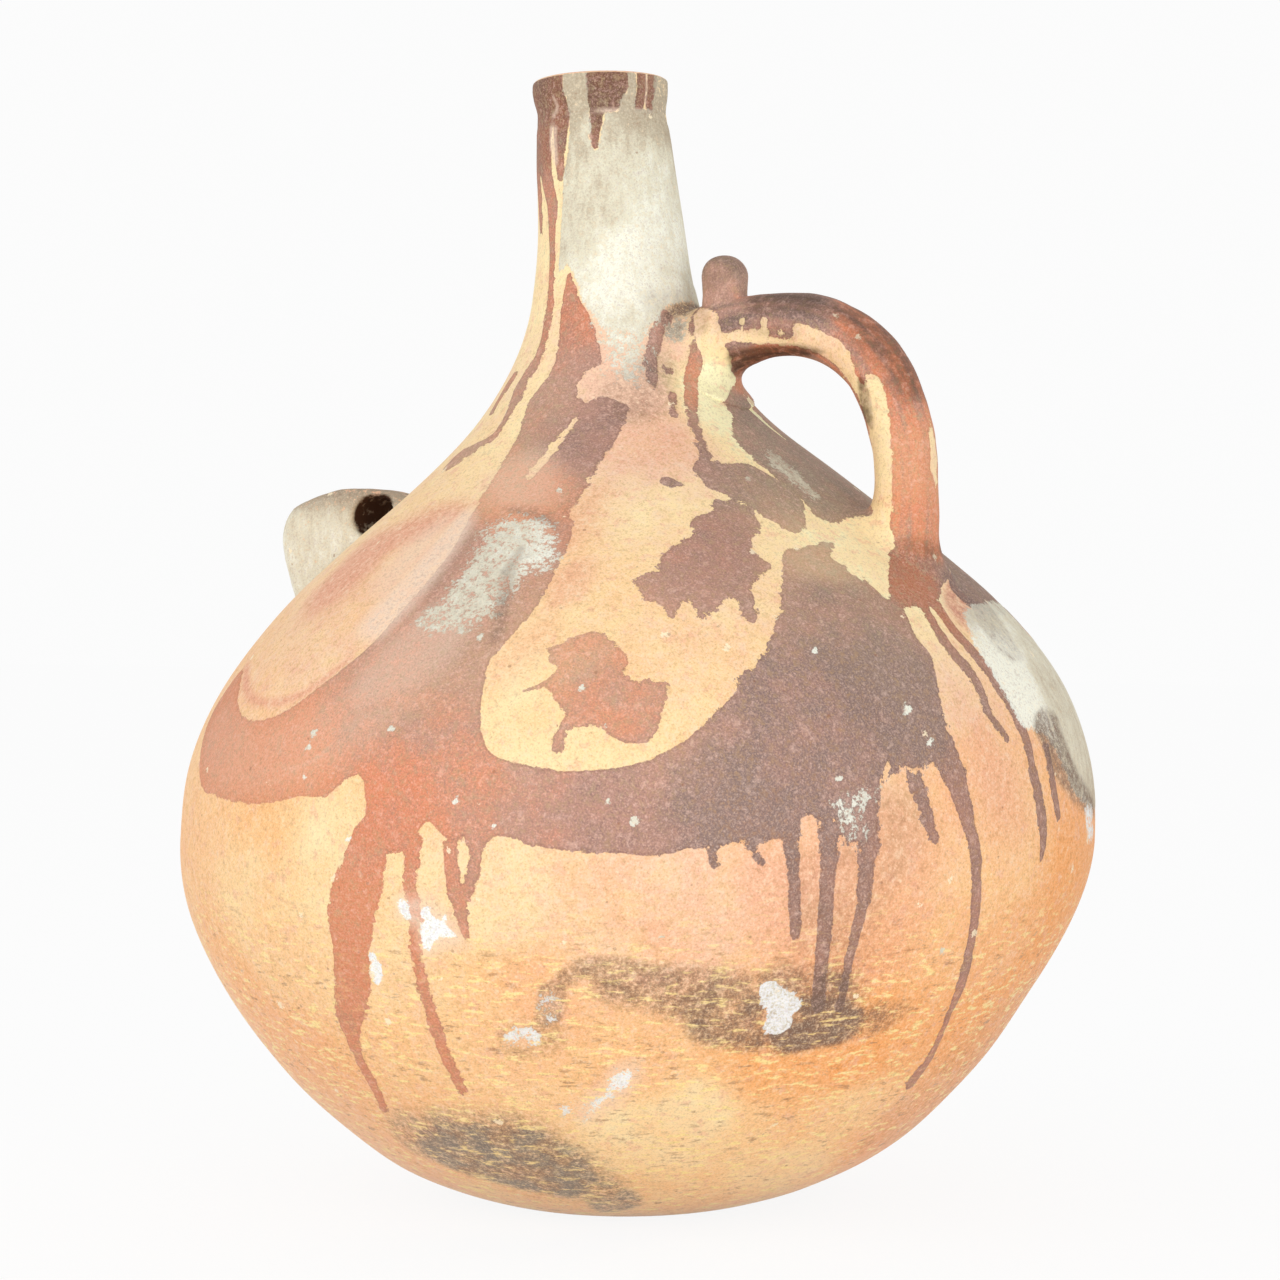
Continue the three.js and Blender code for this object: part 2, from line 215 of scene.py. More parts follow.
# Slip poured over the jug, as seen in the picture: outlines, and runs with their widths, in px
SLIP_PATCHES = [
    # swag from the two stripes round the leaf, across the front and up under the handle
    [(480, 505), (505, 496), (530, 492), (562, 512), (574, 528), (557, 570), (536, 610), (510, 640),
     (492, 660), (484, 690), (481, 720), (486, 745), (497, 757), (520, 764), (560, 771), (600, 770),
     (640, 763), (670, 750), (700, 728), (722, 705), (737, 692), (737, 680), (744, 671), (756, 667),
     (766, 650), (775, 625), (781, 600), (783, 575), (784, 550), (800, 548), (833, 541), (830, 556),
     (846, 566), (852, 576), (867, 581), (884, 598), (898, 600), (905, 612), (912, 630), (922, 645),
     (932, 660), (936, 680), (940, 700), (945, 720), (952, 740), (962, 765), (950, 778), (938, 768),
     (928, 762), (916, 772), (904, 765), (895, 775), (888, 758), (883, 778), (878, 800), (876, 838),
     (846, 842), (838, 830), (815, 820), (798, 836), (775, 840), (745, 842), (715, 846), (680, 850),
     (655, 856), (620, 853), (585, 852), (545, 848), (510, 838), (497, 836), (486, 843), (468, 846),
     (446, 838), (437, 828), (428, 821), (421, 828), (416, 842), (405, 850), (392, 851), (378, 850),
     (354, 838), (365, 820), (366, 803), (363, 779), (355, 775), (340, 785), (325, 797), (300, 796),
     (270, 803), (240, 803), (215, 795), (201, 786), (203, 742), (212, 715), (226, 690), (243, 668),
     (240, 685), (238, 700), (243, 714), (254, 721), (275, 717), (296, 705), (316, 690), (345, 668),
     (375, 642), (400, 615), (430, 582), (458, 545)],
    # stripes down from the neck
    [(568, 274), (575, 284), (580, 300), (590, 316), (597, 338), (600, 362), (584, 374), (576, 392),
     (588, 402), (602, 397), (616, 402), (628, 409), (621, 430), (606, 455), (592, 480), (578, 500),
     (566, 516), (530, 512), (480, 508), (490, 486), (502, 466), (512, 448), (521, 430), (526, 410),
     (535, 394), (548, 378), (558, 350), (561, 310)],
    # broad leg of slip down the left of the belly
    [(366, 818), (352, 836), (345, 855), (335, 875), (330, 895), (328, 915), (331, 932), (334, 955),
     (334, 980), (336, 1005), (340, 1025), (347, 1042), (358, 1066), (367, 1082), (375, 1098),
     (381, 1112), (387, 1110), (381, 1092), (372, 1075), (362, 1052), (360, 1038), (362, 1024),
     (367, 1010), (371, 985), (369, 955), (372, 932), (377, 912), (381, 892), (385, 868), (392, 850),
     (400, 835)],
    # splashes on the front
    [(690, 520), (712, 512), (709, 505), (722, 500), (740, 503), (752, 512), (760, 528), (751, 540),
     (757, 555), (772, 566), (760, 576), (752, 586), (754, 600), (757, 623), (745, 618), (738, 600),
     (727, 598), (716, 611), (700, 618), (690, 604), (682, 602), (676, 615), (667, 618), (661, 605),
     (645, 600), (632, 583), (646, 575), (657, 570), (661, 558), (678, 543), (694, 536)],
    [(546, 650), (560, 646), (575, 638), (600, 633), (620, 648), (628, 660), (624, 676), (640, 682),
     (668, 684), (662, 712), (655, 736), (634, 744), (612, 738), (602, 728), (578, 727), (567, 734),
     (564, 752), (552, 752), (555, 732), (566, 716), (556, 702), (545, 688), (520, 695), (545, 682),
     (558, 668), (550, 660)],
    # dark slip under the handle and along the shoulder to its foot
    [(692, 468), (702, 458), (722, 463), (748, 464), (775, 478), (798, 492), (806, 520), (800, 532),
     (785, 530), (774, 522), (760, 515), (746, 506), (722, 495), (704, 485)],
    [(736, 392), (750, 402), (780, 430), (820, 462), (868, 498), (876, 508), (845, 519), (822, 520),
     (800, 496), (770, 472), (748, 452), (732, 428)],
    # on the throat under the handle
    [(727, 366), (742, 360), (748, 392), (740, 408), (728, 402)],
    # beyond the foot of the handle
    [(936, 548), (958, 562), (986, 588), (1006, 612), (992, 616), (974, 610), (956, 594), (944, 576)],
    [(889, 606), (889, 580), (889, 556), (893, 540), (925, 540), (938, 560), (941, 590), (934, 606),
     (914, 606)],
    # band of the collar between its bare gaps
    [(524, 84), (534, 74), (562, 68), (563, 88), (568, 106), (569, 116), (540, 118), (526, 112)],
    [(585, 66), (636, 64), (634, 84), (624, 94), (619, 109), (606, 112), (602, 122), (600, 135),
     (597, 148), (593, 148), (590, 138), (589, 118), (587, 100), (586, 84)],
    [(638, 66), (645, 66), (645, 95), (643, 109), (634, 109)],
    [(647, 66), (656, 66), (654, 95), (652, 113), (646, 109)],
]
SLIP_RUNS = [
    # along the neck and the left of the shoulder
    [(546, 112, 18), (544, 140, 16), (546, 168, 12), (549, 190, 11), (552, 206, 11), (551, 228, 7),
     (551, 262, 6), (550, 300, 6), (547, 326, 7), (543, 346, 7), (538, 360, 8), (528, 376, 8),
     (519, 394, 9), (508, 418, 5), (496, 436, 5), (480, 446, 6), (463, 456, 8), (446, 470, 4)],
    [(562, 112, 15), (561, 130, 14), (560, 152, 10), (560, 178, 6)],
    [(538, 114, 4), (539, 170, 4), (540, 232, 3)],
    [(518, 372, 3), (510, 384, 4), (500, 400, 3), (492, 414, 3)],
    # between the neck and the top of the handle
    [(668, 312, 14), (660, 325, 14), (655, 342, 13), (651, 362, 14), (653, 378, 10), (655, 388, 5)],
    [(690, 342, 9), (692, 370, 13), (692, 398, 14), (694, 420, 10), (700, 442, 8), (708, 462, 9)],
    [(672, 392, 8), (675, 416, 7)],
    [(662, 366, 4), (671, 371, 6)],
    [(660, 480, 4), (668, 481, 7), (682, 484, 3)],
    # drips below the swag, from left to right
    [(410, 835, 22), (412, 860, 16), (410, 885, 14), (413, 905, 12), (414, 935, 10), (418, 965, 11),
     (424, 990, 11), (430, 1010, 12), (438, 1035, 12), (447, 1058, 11), (457, 1078, 11), (463, 1090, 9)],
    [(450, 840, 14), (452, 870, 14), (457, 895, 18), (461, 912, 14), (466, 938, 7)],
    [(477, 840, 15), (474, 868, 14), (465, 892, 16)],
    [(712, 846, 9), (714, 864, 8)],
    [(750, 843, 8), (762, 864, 8)],
    [(791, 838, 17), (793, 870, 12), (794, 900, 13), (795, 935, 10)],
    [(830, 822, 24), (828, 860, 18), (826, 890, 15), (824, 930, 15), (820, 970, 13), (817, 1006, 13)],
    [(869, 838, 20), (865, 870, 18), (862, 900, 13), (855, 932, 10), (848, 960, 9), (842, 990, 8),
     (838, 1008, 8)],
    [(912, 772, 15), (922, 800, 13), (930, 825, 11), (935, 840, 8)],
    [(952, 768, 24), (962, 800, 17), (970, 830, 13), (975, 860, 11), (975, 900, 10), (972, 930, 8),
     (966, 960, 9), (960, 985, 9), (952, 1006, 6), (942, 1030, 5), (930, 1055, 6), (918, 1072, 7),
     (908, 1084, 8)],
    # thin drips right of the handle
    [(922, 602, 8), (933, 624, 8), (945, 643, 8), (957, 658, 9), (968, 671, 9), (979, 689, 8),
     (988, 712, 7), (997, 726, 7), (1006, 738, 5)],
    [(934, 602, 9), (944, 617, 8), (953, 630, 8), (971, 650, 8), (989, 673, 8), (1000, 692, 7),
     (1016, 718, 7), (1026, 742, 8), (1030, 762, 7), (1035, 786, 8), (1040, 814, 9), (1042, 842, 6),
     (1039, 861, 3)],
    [(1044, 744, 6), (1048, 766, 6), (1053, 795, 6), (1057, 818, 4)],
]
# Clay left bare inside the slip
BARE_PATCHES = [
    [(463, 834), (467, 850), (467, 872), (461, 884), (460, 860)],
    [(800, 820), (815, 818), (816, 838), (814, 862), (801, 862)],
]
BARE_RUNS = [
    [(577, 418, 3), (562, 438, 7), (545, 459, 8), (528, 480, 4)],
]

# Slip on the side that the picture doesn't show, as angle in degrees, height and width in mm
BACK_RUNS = [
    [(22, 346, 13), (21, 328, 18), (22, 304, 30), (23, 286, 36), (20, 273, 24)],
    [(26, 232, 16), (40, 205, 22), (62, 186, 26), (85, 190, 22), (108, 208, 24), (130, 205, 26),
     (155, 188, 26), (178, 190, 22), (200, 180, 18), (210, 176, 16)],
    [(70, 352, 5), (78, 318, 7), (92, 282, 10), (106, 248, 14), (112, 212, 16)],
    [(118, 356, 6), (128, 316, 8), (146, 276, 12), (160, 238, 16), (166, 200, 16)],
    [(48, 196, 8), (50, 150, 6), (49, 112, 4), (51, 86, 3)],
    [(66, 184, 7), (67, 140, 6), (66, 118, 4)],
    [(90, 186, 8), (92, 130, 5), (91, 78, 4)],
    [(124, 200, 8), (125, 158, 6), (124, 130, 5)],
    [(146, 190, 9), (147, 138, 6), (149, 92, 4)],
    [(172, 186, 7), (173, 152, 5), (172, 134, 4)],
    [(194, 180, 6), (195, 140, 5), (194, 108, 3)],
]
BACK_PATCHES = [
    [(60, 262), (72, 268), (84, 258), (82, 238), (70, 228), (58, 240)],
    [(128, 252), (138, 258), (144, 246), (138, 232), (128, 236)],
]

# Lime, scuffs and chalky crust: strength, feather in mm and outline in px
CHALK_PATCHES = [
    # the wash on the neck, parted by a drip of slip and thinning out below
    (1.0, 1.4, [(570, 117), (588, 116), (590, 128), (590, 140), (595, 151), (599, 146), (602, 128),
                (606, 116), (614, 112), (664, 113), (680, 150), (690, 200), (698, 246), (700, 280),
                (698, 300), (682, 302), (668, 305), (657, 318), (648, 326), (640, 334), (628, 332),
                (616, 330), (602, 326), (592, 315), (584, 303), (579, 290), (574, 276), (566, 264),
                (558, 268), (560, 230), (562, 200), (564, 175), (568, 150), (570, 130)]),
    (0.62, 8.0, [(590, 290), (664, 306), (656, 334), (648, 356), (640, 386), (616, 380), (604, 356),
                 (596, 330)]),
    # bare gaps of the collar
    (0.9, 1.0, [(561, 80), (586, 82), (587, 100), (588, 113), (570, 115), (566, 98)]),
    (0.85, 1.0, [(624, 94), (635, 84), (634, 111), (619, 111)]),
    (0.7, 1.5, [(655, 66), (676, 66), (676, 112), (653, 112)]),
    # crust on the shoulder
    (0.66, 8.0, [(494, 524), (540, 518), (556, 532), (559, 552), (548, 570), (526, 578), (508, 600),
                 (486, 624), (460, 634), (424, 632), (418, 622), (440, 600), (462, 574), (478, 546)]),
    # weathered patch beyond the handle
    (1.0, 3.0, [(968, 608), (1000, 604), (1040, 650), (1068, 690), (1090, 736), (1104, 806), (1078, 800),
                (1066, 776), (1052, 746), (1038, 730), (1022, 728), (1010, 705), (995, 680), (980, 655),
                (970, 632)]),
    # flaked slip above two drips, and by the handle
    (0.44, 3.0, [(828, 800), (850, 790), (880, 784), (880, 800), (866, 810), (872, 830), (860, 842),
                 (842, 838), (838, 816)]),
    (0.55, 3.0, [(664, 322), (684, 316), (706, 318), (706, 332), (684, 340), (668, 344)]),
    (0.62, 3.0, [(766, 446), (786, 458), (806, 480), (822, 496), (812, 498), (790, 482), (770, 462)]),
]
# Lime that runs on round the right: strength, feather in mm, and outline in degrees and mm of height
BACK_CHALK = [
    (1.0, 5.0, [(6, 422), (34, 426), (56, 414), (44, 398), (62, 382), (50, 366), (58, 352), (34, 340),
                (8, 352)]),
    (1.0, 6.0, [(20, 220), (30, 228), (39, 218), (37, 204), (45, 192), (41, 174), (32, 162), (21, 168)]),
]
# Fresh chips, white crystals and painted highlights: strength, feather in mm and outline in px
CHIPS_AND_PAINTED_HIGHLIGHTS = [
    # painted highlights: white glints low on the left of the belly
    (0.95, 1.2, [(419, 911), (428, 908), (433, 917), (440, 920), (445, 915), (449, 928), (458, 941),
                 (444, 938), (434, 942), (428, 953), (420, 942), (422, 926)]),
    (0.8, 2.0, [(396, 900), (407, 900), (411, 918), (402, 918)]),
    (0.95, 1.2, [(369, 953), (376, 956), (382, 972), (380, 986), (373, 980)]),
    # a painted highlight in white streaks low on the front, and its pinker edge
    (0.7, 4.0, [(586, 1122), (590, 1106), (604, 1092), (610, 1074), (632, 1068), (634, 1084), (614, 1096),
                (600, 1110)]),
    (0.42, 4.0, [(558, 1108), (580, 1098), (592, 1104), (584, 1114), (564, 1116)]),
    # a fresh chip
    (1.0, 0.7, [(761, 984), (774, 981), (782, 987), (796, 995), (801, 1006), (792, 1014), (790, 1026),
                (776, 1034), (763, 1030), (767, 1012), (760, 1000)]),
    # white crystals in the clay
    (0.42, 1.5, [(538, 994), (556, 990), (563, 1006), (556, 1022), (546, 1026), (536, 1014)]),
    (0.55, 1.5, [(502, 1042), (514, 1026), (536, 1030), (540, 1046), (510, 1048)]),
    # a painted highlight: a white bar by the right edge
    (0.6, 2.5, [(1084, 808), (1092, 806), (1093, 838), (1087, 840)]),
]
# White specks: place and width in px
SPECKS = [(309, 746, 5), (315, 732, 5), (391, 729, 5), (305, 775, 5), (455, 800, 6), (492, 826, 6),
          (608, 801, 6), (633, 820, 9), (581, 688, 5), (604, 726, 5), (348, 838, 5), (559, 491, 5),
          (480, 638, 5), (814, 650, 5), (906, 709, 8), (837, 778, 6), (941, 949, 5), (929, 742, 6),
          (747, 479, 5), (660, 936, 5)]
CHALK_PATCHES += [(1.0, 1.0, [(x - 0.3 * size, y, size), (x + 0.3 * size, y + 1, size)])
                  for x, y, size in SPECKS]
# Pale haze: strength, feather in mm and outline in px
HAZE_PATCHES = [
    (0.35, 1.5, [(262, 770, 3), (296, 768, 5), (322, 755, 5), (332, 744, 3)]),
    (0.3, 1.5, [(236, 772, 3), (262, 782, 4), (286, 778, 3)]),
    (0.16, 8.0, [(206, 742), (230, 704), (262, 728), (330, 700), (372, 664), (420, 644), (450, 660),
                 (400, 716), (340, 766), (270, 794), (210, 786)]),
    (0.3, 7.0, [(346, 704), (366, 668), (404, 632), (440, 606), (470, 628), (446, 668), (404, 694),
                (366, 712)]),
    (0.75, 5.0, [(360, 626), (410, 572), (462, 514), (476, 522), (446, 570), (404, 618), (376, 640)]),
    (0.5, 9.0, [(380, 578), (420, 536), (450, 516), (440, 540), (410, 576), (380, 604)]),
    (0.3, 8.0, [(492, 474), (540, 450), (562, 474), (550, 506), (512, 510), (488, 500)]),
    # worn lines on the collar and under it
    (0.8, 0.4, [(566, 115, 2), (588, 113, 2), (612, 110.5, 2), (640, 111, 2), (667, 110.5, 2)]),
    (0.5, 0.4, [(589, 112, 2), (590, 126, 2), (591, 146, 2)]),
    (0.5, 0.6, [(553, 96, 2), (557, 108, 3), (552, 119, 2)]),
    (0.5, 0.6, [(645.5, 83, 2), (645.5, 104, 2)]),
    (0.6, 0.8, [(554, 126, 6), (554, 146, 7), (556, 163, 5)]),
    # halo of the painted highlights
    (0.5, 4.0, [(580, 1126), (584, 1102), (606, 1080), (612, 1066), (640, 1062), (636, 1090),
                (602, 1116)]),
    (0.6, 4.0, [(396, 898), (432, 902), (462, 940), (440, 950), (424, 956), (416, 930), (400, 922)]),
]
# Smoke of the firing, and one painted shadow: strength, feather in mm and outline in px
SOOT_AND_SHADOW_PATCHES = [
    # the cloud across the front
    (0.5, 3.0, [(553, 976), (566, 964), (590, 954), (628, 956), (660, 964), (628, 974), (588, 980),
                (566, 990)]),
    (0.61, 6.0, [(588, 968), (650, 962), (720, 966), (756, 976), (752, 1016), (700, 1026), (640, 1012),
                 (596, 1000)]),
    (0.72, 5.0, [(686, 1018), (730, 1006), (740, 990), (766, 992), (768, 1046), (730, 1050),
                 (694, 1042)]),
    (0.85, 3.0, [(796, 994), (850, 996), (848, 1022), (802, 1022)]),
    (0.88, 4.0, [(766, 1010), (800, 1016), (850, 1004), (864, 1010), (856, 1036), (820, 1046),
                 (770, 1052)]),
    (0.5, 6.0, [(846, 1006), (900, 998), (908, 1012), (880, 1032), (850, 1038)]),
    (0.55, 2.0, [(540, 984), (566, 982), (566, 1012), (552, 1028), (534, 1026), (536, 1000)]),
    (0.68, 8.0, [(756, 974), (800, 962), (850, 966), (866, 992), (850, 1006), (800, 1002), (750, 1006)]),
    (0.3, 10.0, [(776, 850), (830, 840), (880, 776), (930, 790), (926, 860), (890, 910), (870, 960),
                 (840, 990), (796, 980), (780, 910)]),
    (0.35, 6.0, [(500, 1020), (560, 1016), (570, 1050), (520, 1064), (496, 1050)]),
    # the cloud by the foot
    (0.76, 6.0, [(410, 1132), (440, 1120), (520, 1124), (556, 1138), (590, 1160), (604, 1180),
                 (580, 1198), (540, 1194), (470, 1176), (424, 1156)]),
    (0.5, 9.0, [(384, 1118), (430, 1106), (520, 1112), (570, 1136), (620, 1172), (640, 1196), (616, 1206),
                (540, 1192), (470, 1174), (404, 1150)]),
    (0.6, 4.0, [(576, 1184), (620, 1182), (644, 1204), (600, 1212)]),
    (0.25, 9.0, [(1000, 1000), (1044, 972), (1010, 1030), (960, 1090), (900, 1136), (848, 1156),
                 (880, 1110)]),
    # soot and painted shadow by the top of the handle, and stains by it, on the weathered patch, round the
    # crust and under the lip
    (0.9, 2.0, [(660, 316), (676, 303), (698, 304), (714, 312), (704, 318), (680, 316), (668, 324)]),
    (0.32, 5.0, [(640, 288), (684, 286), (692, 306), (664, 318), (642, 312)]),
    (0.5, 2.5, [(664, 318), (706, 312), (708, 330), (692, 336), (672, 344), (660, 334)]),
    (0.42, 8.0, [(600, 384), (640, 352), (672, 350), (684, 396), (650, 424), (610, 424)]),
    (0.4, 4.0, [(968, 606), (984, 600), (1010, 634), (1024, 660), (1010, 662), (988, 640)]),
    (0.3, 5.0, [(936, 566), (956, 586), (984, 612), (978, 634), (958, 624), (942, 600)]),
    (0.72, 3.5, [(1032, 724), (1040, 708), (1054, 714), (1064, 740), (1076, 770), (1092, 798),
                 (1098, 818), (1080, 812), (1062, 790), (1048, 768), (1040, 744)]),
    (0.45, 3.0, [(500, 510), (530, 506), (554, 514), (561, 536), (548, 528), (520, 518)]),
    (0.1, 9.0, [(480, 520), (552, 508), (566, 546), (542, 596), (512, 640), (470, 650), (416, 640),
                (408, 620), (440, 580), (466, 540)]),
    (0.45, 3.0, [(520, 548), (528, 552), (516, 576), (514, 604), (504, 640), (488, 644), (494, 610),
                 (500, 576)]),
    (0.3, 5.0, [(420, 600), (446, 564), (470, 536), (476, 544), (456, 576), (432, 610)]),
    (0.55, 1.2, [(562, 76), (590, 73), (640, 74), (642, 84), (600, 86), (566, 85)]),
]
# Thin washes of red: strength, feather in mm and outline in px
WASH_PATCHES = [
    (0.72, 8.0, [(304, 616), (312, 594), (338, 566), (364, 541), (400, 522), (443, 503), (468, 504),
                 (460, 520), (431, 535), (394, 549), (370, 572), (350, 592), (326, 610)]),
    (0.75, 2.0, [(247, 664, 5), (246, 684, 9), (252, 698, 11), (268, 703, 8), (288, 700, 7),
                 (310, 690, 5), (334, 672, 4), (352, 658, 3)]),
    (0.85, 4.0, [(938, 566), (958, 588), (986, 612), (978, 634), (958, 622), (944, 600)]),
    (0.45, 7.0, [(556, 520), (590, 490), (612, 480), (600, 520), (576, 552), (560, 552)]),
    (0.5, 5.0, [(556, 570), (584, 556), (596, 572), (580, 596), (556, 610), (546, 602)]),
    (0.35, 8.0, [(486, 668), (510, 640), (536, 620), (560, 622), (540, 660), (500, 690)]),
    (0.35, 12.0, [(640, 400), (690, 410), (700, 452), (660, 470), (622, 470), (626, 430)]),
    (0.36, 10.0, [(742, 850), (800, 842), (880, 790), (936, 830), (934, 900), (906, 960), (860, 990),
                  (790, 980), (748, 900)]),
    (0.35, 10.0, [(960, 700), (1010, 760), (1030, 830), (1000, 850), (975, 780)]),
]

# How the finish drifts over the wall: places in the picture, each with a value there
# Slip from red to plum
TONE = [(280, 760, 0.05), (350, 920, 0.0), (400, 800, 0.1), (470, 780, 0.3), (540, 800, 0.5),
        (600, 810, 0.68), (800, 720, 0.88), (830, 600, 0.8), (880, 680, 1.1), (715, 550, 0.58),
        (600, 700, 0.32), (560, 390, 0.5), (590, 440, 0.7), (520, 492, 0.1), (440, 560, 0.6),
        (400, 680, 0.4), (543, 130, 0.35), (600, 95, 0.4), (545, 95, 0.35), (570, 310, 0.25),
        (800, 480, 1.0), (965, 590, 0.95), (1040, 800, 0.7), (972, 900, 0.6), (925, 1060, 0.4),
        (820, 960, 0.75), (440, 1040, 0.15), (692, 380, 0.15), (652, 370, 0.85), (700, 470, 0.85),
        (815, 562, 0.5), (912, 586, 0.1), (430, 700, 0.45), (464, 656, 0.6), (232, 720, 0.1),
        (736, 385, 0.1), (750, 408, 0.95), (740, 825, 1.05)]
# How well the slip covers
VEIL = [(280, 760, 0.85), (350, 920, 0.95), (400, 800, 1.0), (470, 780, 0.95), (600, 810, 1.0),
        (800, 720, 1.0), (830, 600, 0.95), (715, 550, 1.0), (600, 700, 0.92), (570, 660, 0.76),
        (560, 390, 0.9), (590, 440, 1.0), (505, 485, 0.75), (440, 560, 0.9), (400, 680, 0.85),
        (543, 130, 1.0), (600, 95, 1.0), (570, 310, 1.0), (240, 690, 0.9), (325, 595, 0.6),
        (290, 690, 0.85), (972, 900, 1.0), (820, 960, 0.95), (815, 562, 0.7), (912, 586, 1.0)]
# How yellow the bare clay is; the high values under the handle's top and along the bottom edge are painted
# light, lifting clay that lies in shade
SUN_AND_PAINTED_LIGHT = [(250, 880, 1.0), (320, 860, 1.15), (270, 960, 0.8), (300, 1040, 0.3), (195, 850, 0.7),
       (500, 900, 0.75), (620, 890, 0.2), (560, 940, 0.4), (760, 890, 0.15), (640, 1060, 0.6),
       (700, 1110, 1.4), (860, 1060, 0.45), (900, 1120, 0.1), (1010, 860, 0.7), (985, 780, 0.25),
       (1075, 870, 0.0), (1000, 960, 0.4), (690, 910, 0.05), (850, 1104, 1.0), (530, 720, 1.05),
       (620, 760, 0.95), (700, 650, 0.65), (650, 530, 0.8), (650, 440, 0.1), (320, 650, 0.35),
       (400, 560, 0.3), (450, 485, 0.85), (543, 240, 1.0), (714, 350, 0.5), (675, 350, 0.2),
       # the first two are painted light under the handle's top
       (715, 385, 2.7), (720, 405, 1.5), (860, 550, 1.1), (520, 430, 0.95), (640, 1130, 1.2),
       (760, 1130, 1.1), (560, 1090, 0.7), (440, 1180, 0.4), (340, 1000, 0.9), (480, 1000, 0.8),
       # painted light along the bottom edge
       (720, 1170, 1.2), (790, 1170, 1.3), (500, 1196, 1.1), (600, 1208, 1.1), (700, 1202, 1.2),
       (626, 388, -0.3), (530, 990, 0.3)]
# How orange the bare clay is
WARM = [(860, 1060, 1.1), (1075, 870, 1.1), (1000, 960, 0.9), (300, 1040, 0.8), (1010, 860, 0.6),
        (985, 780, 0.6), (900, 1120, 0.95), (700, 1110, 0.35), (250, 880, 0.38), (270, 960, 0.48),
        (240, 976, 0.8), (320, 860, 0.35), (620, 890, 0.25), (690, 900, 0.3), (1008, 1000, 1.5),
        (500, 900, 0.1), (650, 530, 0.1), (650, 440, 0.05), (320, 650, 0.25), (450, 485, 0.15),
        (543, 240, 0.0), (640, 1060, 0.6), (560, 560, 0.35), (570, 630, 0.3), (980, 1020, 1.15),
        (780, 1170, 0.45), (752, 1072, 1.0), (265, 818, 0.75), (944, 688, 0.1), (850, 1108, 0.6),
        (640, 1130, 0.4), (500, 1196, 0.6), (600, 1208, 0.6), (700, 1202, 0.6), (715, 385, -0.4),
        (860, 550, 0.0), (530, 990, 0.7)]
# How white the lime is; the anchors on the lower belly and by the right edge whiten the painted highlights
PALE = [(600, 130, 0.35), (620, 165, 0.45), (595, 200, 0.3), (640, 200, 0.6), (655, 180, 0.65),
        (650, 235, 0.95), (585, 230, 0.35), (620, 255, 0.85), (660, 280, 0.7), (620, 290, 1.0),
        (630, 320, 0.6), (575, 95, -0.4), (628, 100, -0.4), (662, 95, -0.4), (542, 550, 0.8),
        (510, 545, 0.5), (480, 580, 0.4), (440, 622, 0.42), (1020, 690, 1.35), (1005, 650, 1.1),
        (982, 618, 0.5), (1050, 690, 0.3), (1040, 655, 0.5), (1075, 750, 0.4), (1090, 800, 0.1),
        (430, 930, 1.3), (375, 970, 1.3), (610, 1090, 1.2), (780, 1005, 0.3), (548, 1005, 0.1),
        (520, 1035, 0.5), (685, 330, 0.3), (715, 380, 1.1), (790, 470, 0.2), (1088, 824, 1.3),
        (858, 812, 0.75)]
# How dark the slip was fired
FIRED = [(600, 95, 0.78), (545, 95, 0.72), (545, 140, 0.5), (650, 95, 0.58), (552, 200, 0.1),
         (565, 310, 0.14), (560, 390, 0.08), (620, 180, 0.1), (620, 300, 0.0), (965, 590, 0.35),
         (880, 680, 0.1), (916, 592, 0.38), (350, 920, 0.08), (972, 900, 0.16), (820, 960, 0.14),
         (925, 1060, 0.2), (600, 700, 0.0), (400, 700, 0.0), (800, 720, 0.0), (692, 380, 0.12),
         (1040, 800, 0.25), (736, 385, 0.15)]
# How frayed the edge of the slip is
FRAY = [(715, 560, 1.9), (600, 690, 1.7), (700, 470, 1.7), (820, 555, 1.5), (790, 840, 1.3),
        (860, 812, 2.6), (375, 900, 2.2), (592, 330, 1.8), (350, 920, 1.2), (560, 850, 1.0),
        (820, 930, 0.7), (972, 900, 0.6), (550, 200, 0.6), (600, 95, 0.6), (560, 400, 1.2),
        (480, 740, 0.45), (620, 770, 0.45), (300, 800, 0.6), (400, 620, 0.7), (650, 350, 1.5),
        (692, 380, 1.1), (912, 586, 1.0), (470, 860, 1.0)]


def rounded(points, closed, steps=3):
    """A smooth curve through given points."""
    points = np.array(points, float)
    if closed:
        padded = np.vstack([points[-1:], points, points[:2]])
    else:
        padded = np.vstack([2 * points[:1] - points[1:2], points, 2 * points[-1:] - points[-2:-1]])
    a, b, c, d = padded[:-3], padded[1:-2], padded[2:-1], padded[3:]
    curve = []
    for t in np.arange(steps) / steps:
        curve.append(b + 0.5 * t * (c - a + t * (2 * a - 5 * b + 4 * c - d + t * (3 * (b - c) + d - a))))
    curve = np.stack(curve, 1).reshape(-1, points.shape[1])
    return curve if closed else np.vstack([curve, points[-1:]])


def outline_distance(points, x, y, closed, half=None):
    """Signed distance from a closed outline, or from a run with half-widths."""
    ends = np.roll(points, -1, 0) if closed else points[1:]
    starts = points if closed else points[:-1]
    best = np.full(x.shape, 1e6)
    inside = np.zeros(x.shape, bool)
    for i, (a, b) in enumerate(zip(starts, ends)):
        step = b - a
        px, py = x - a[0], y - a[1]
        t = np.clip((px * step[0] + py * step[1]) / max(step @ step, 1e-9), 0.0, 1.0)
        gap = np.hypot(px - t * step[0], py - t * step[1])
        if not closed:
            gap = gap - half[i] - t * (half[i + 1] - half[i])
        best = np.minimum(best, gap)
        if closed:
            crosses = (a[1] > y) != (b[1] > y)
            inside ^= crosses & (px < step[0] * py / (step[1] if step[1] else 1e-9))
    return np.where(inside, -best, best)


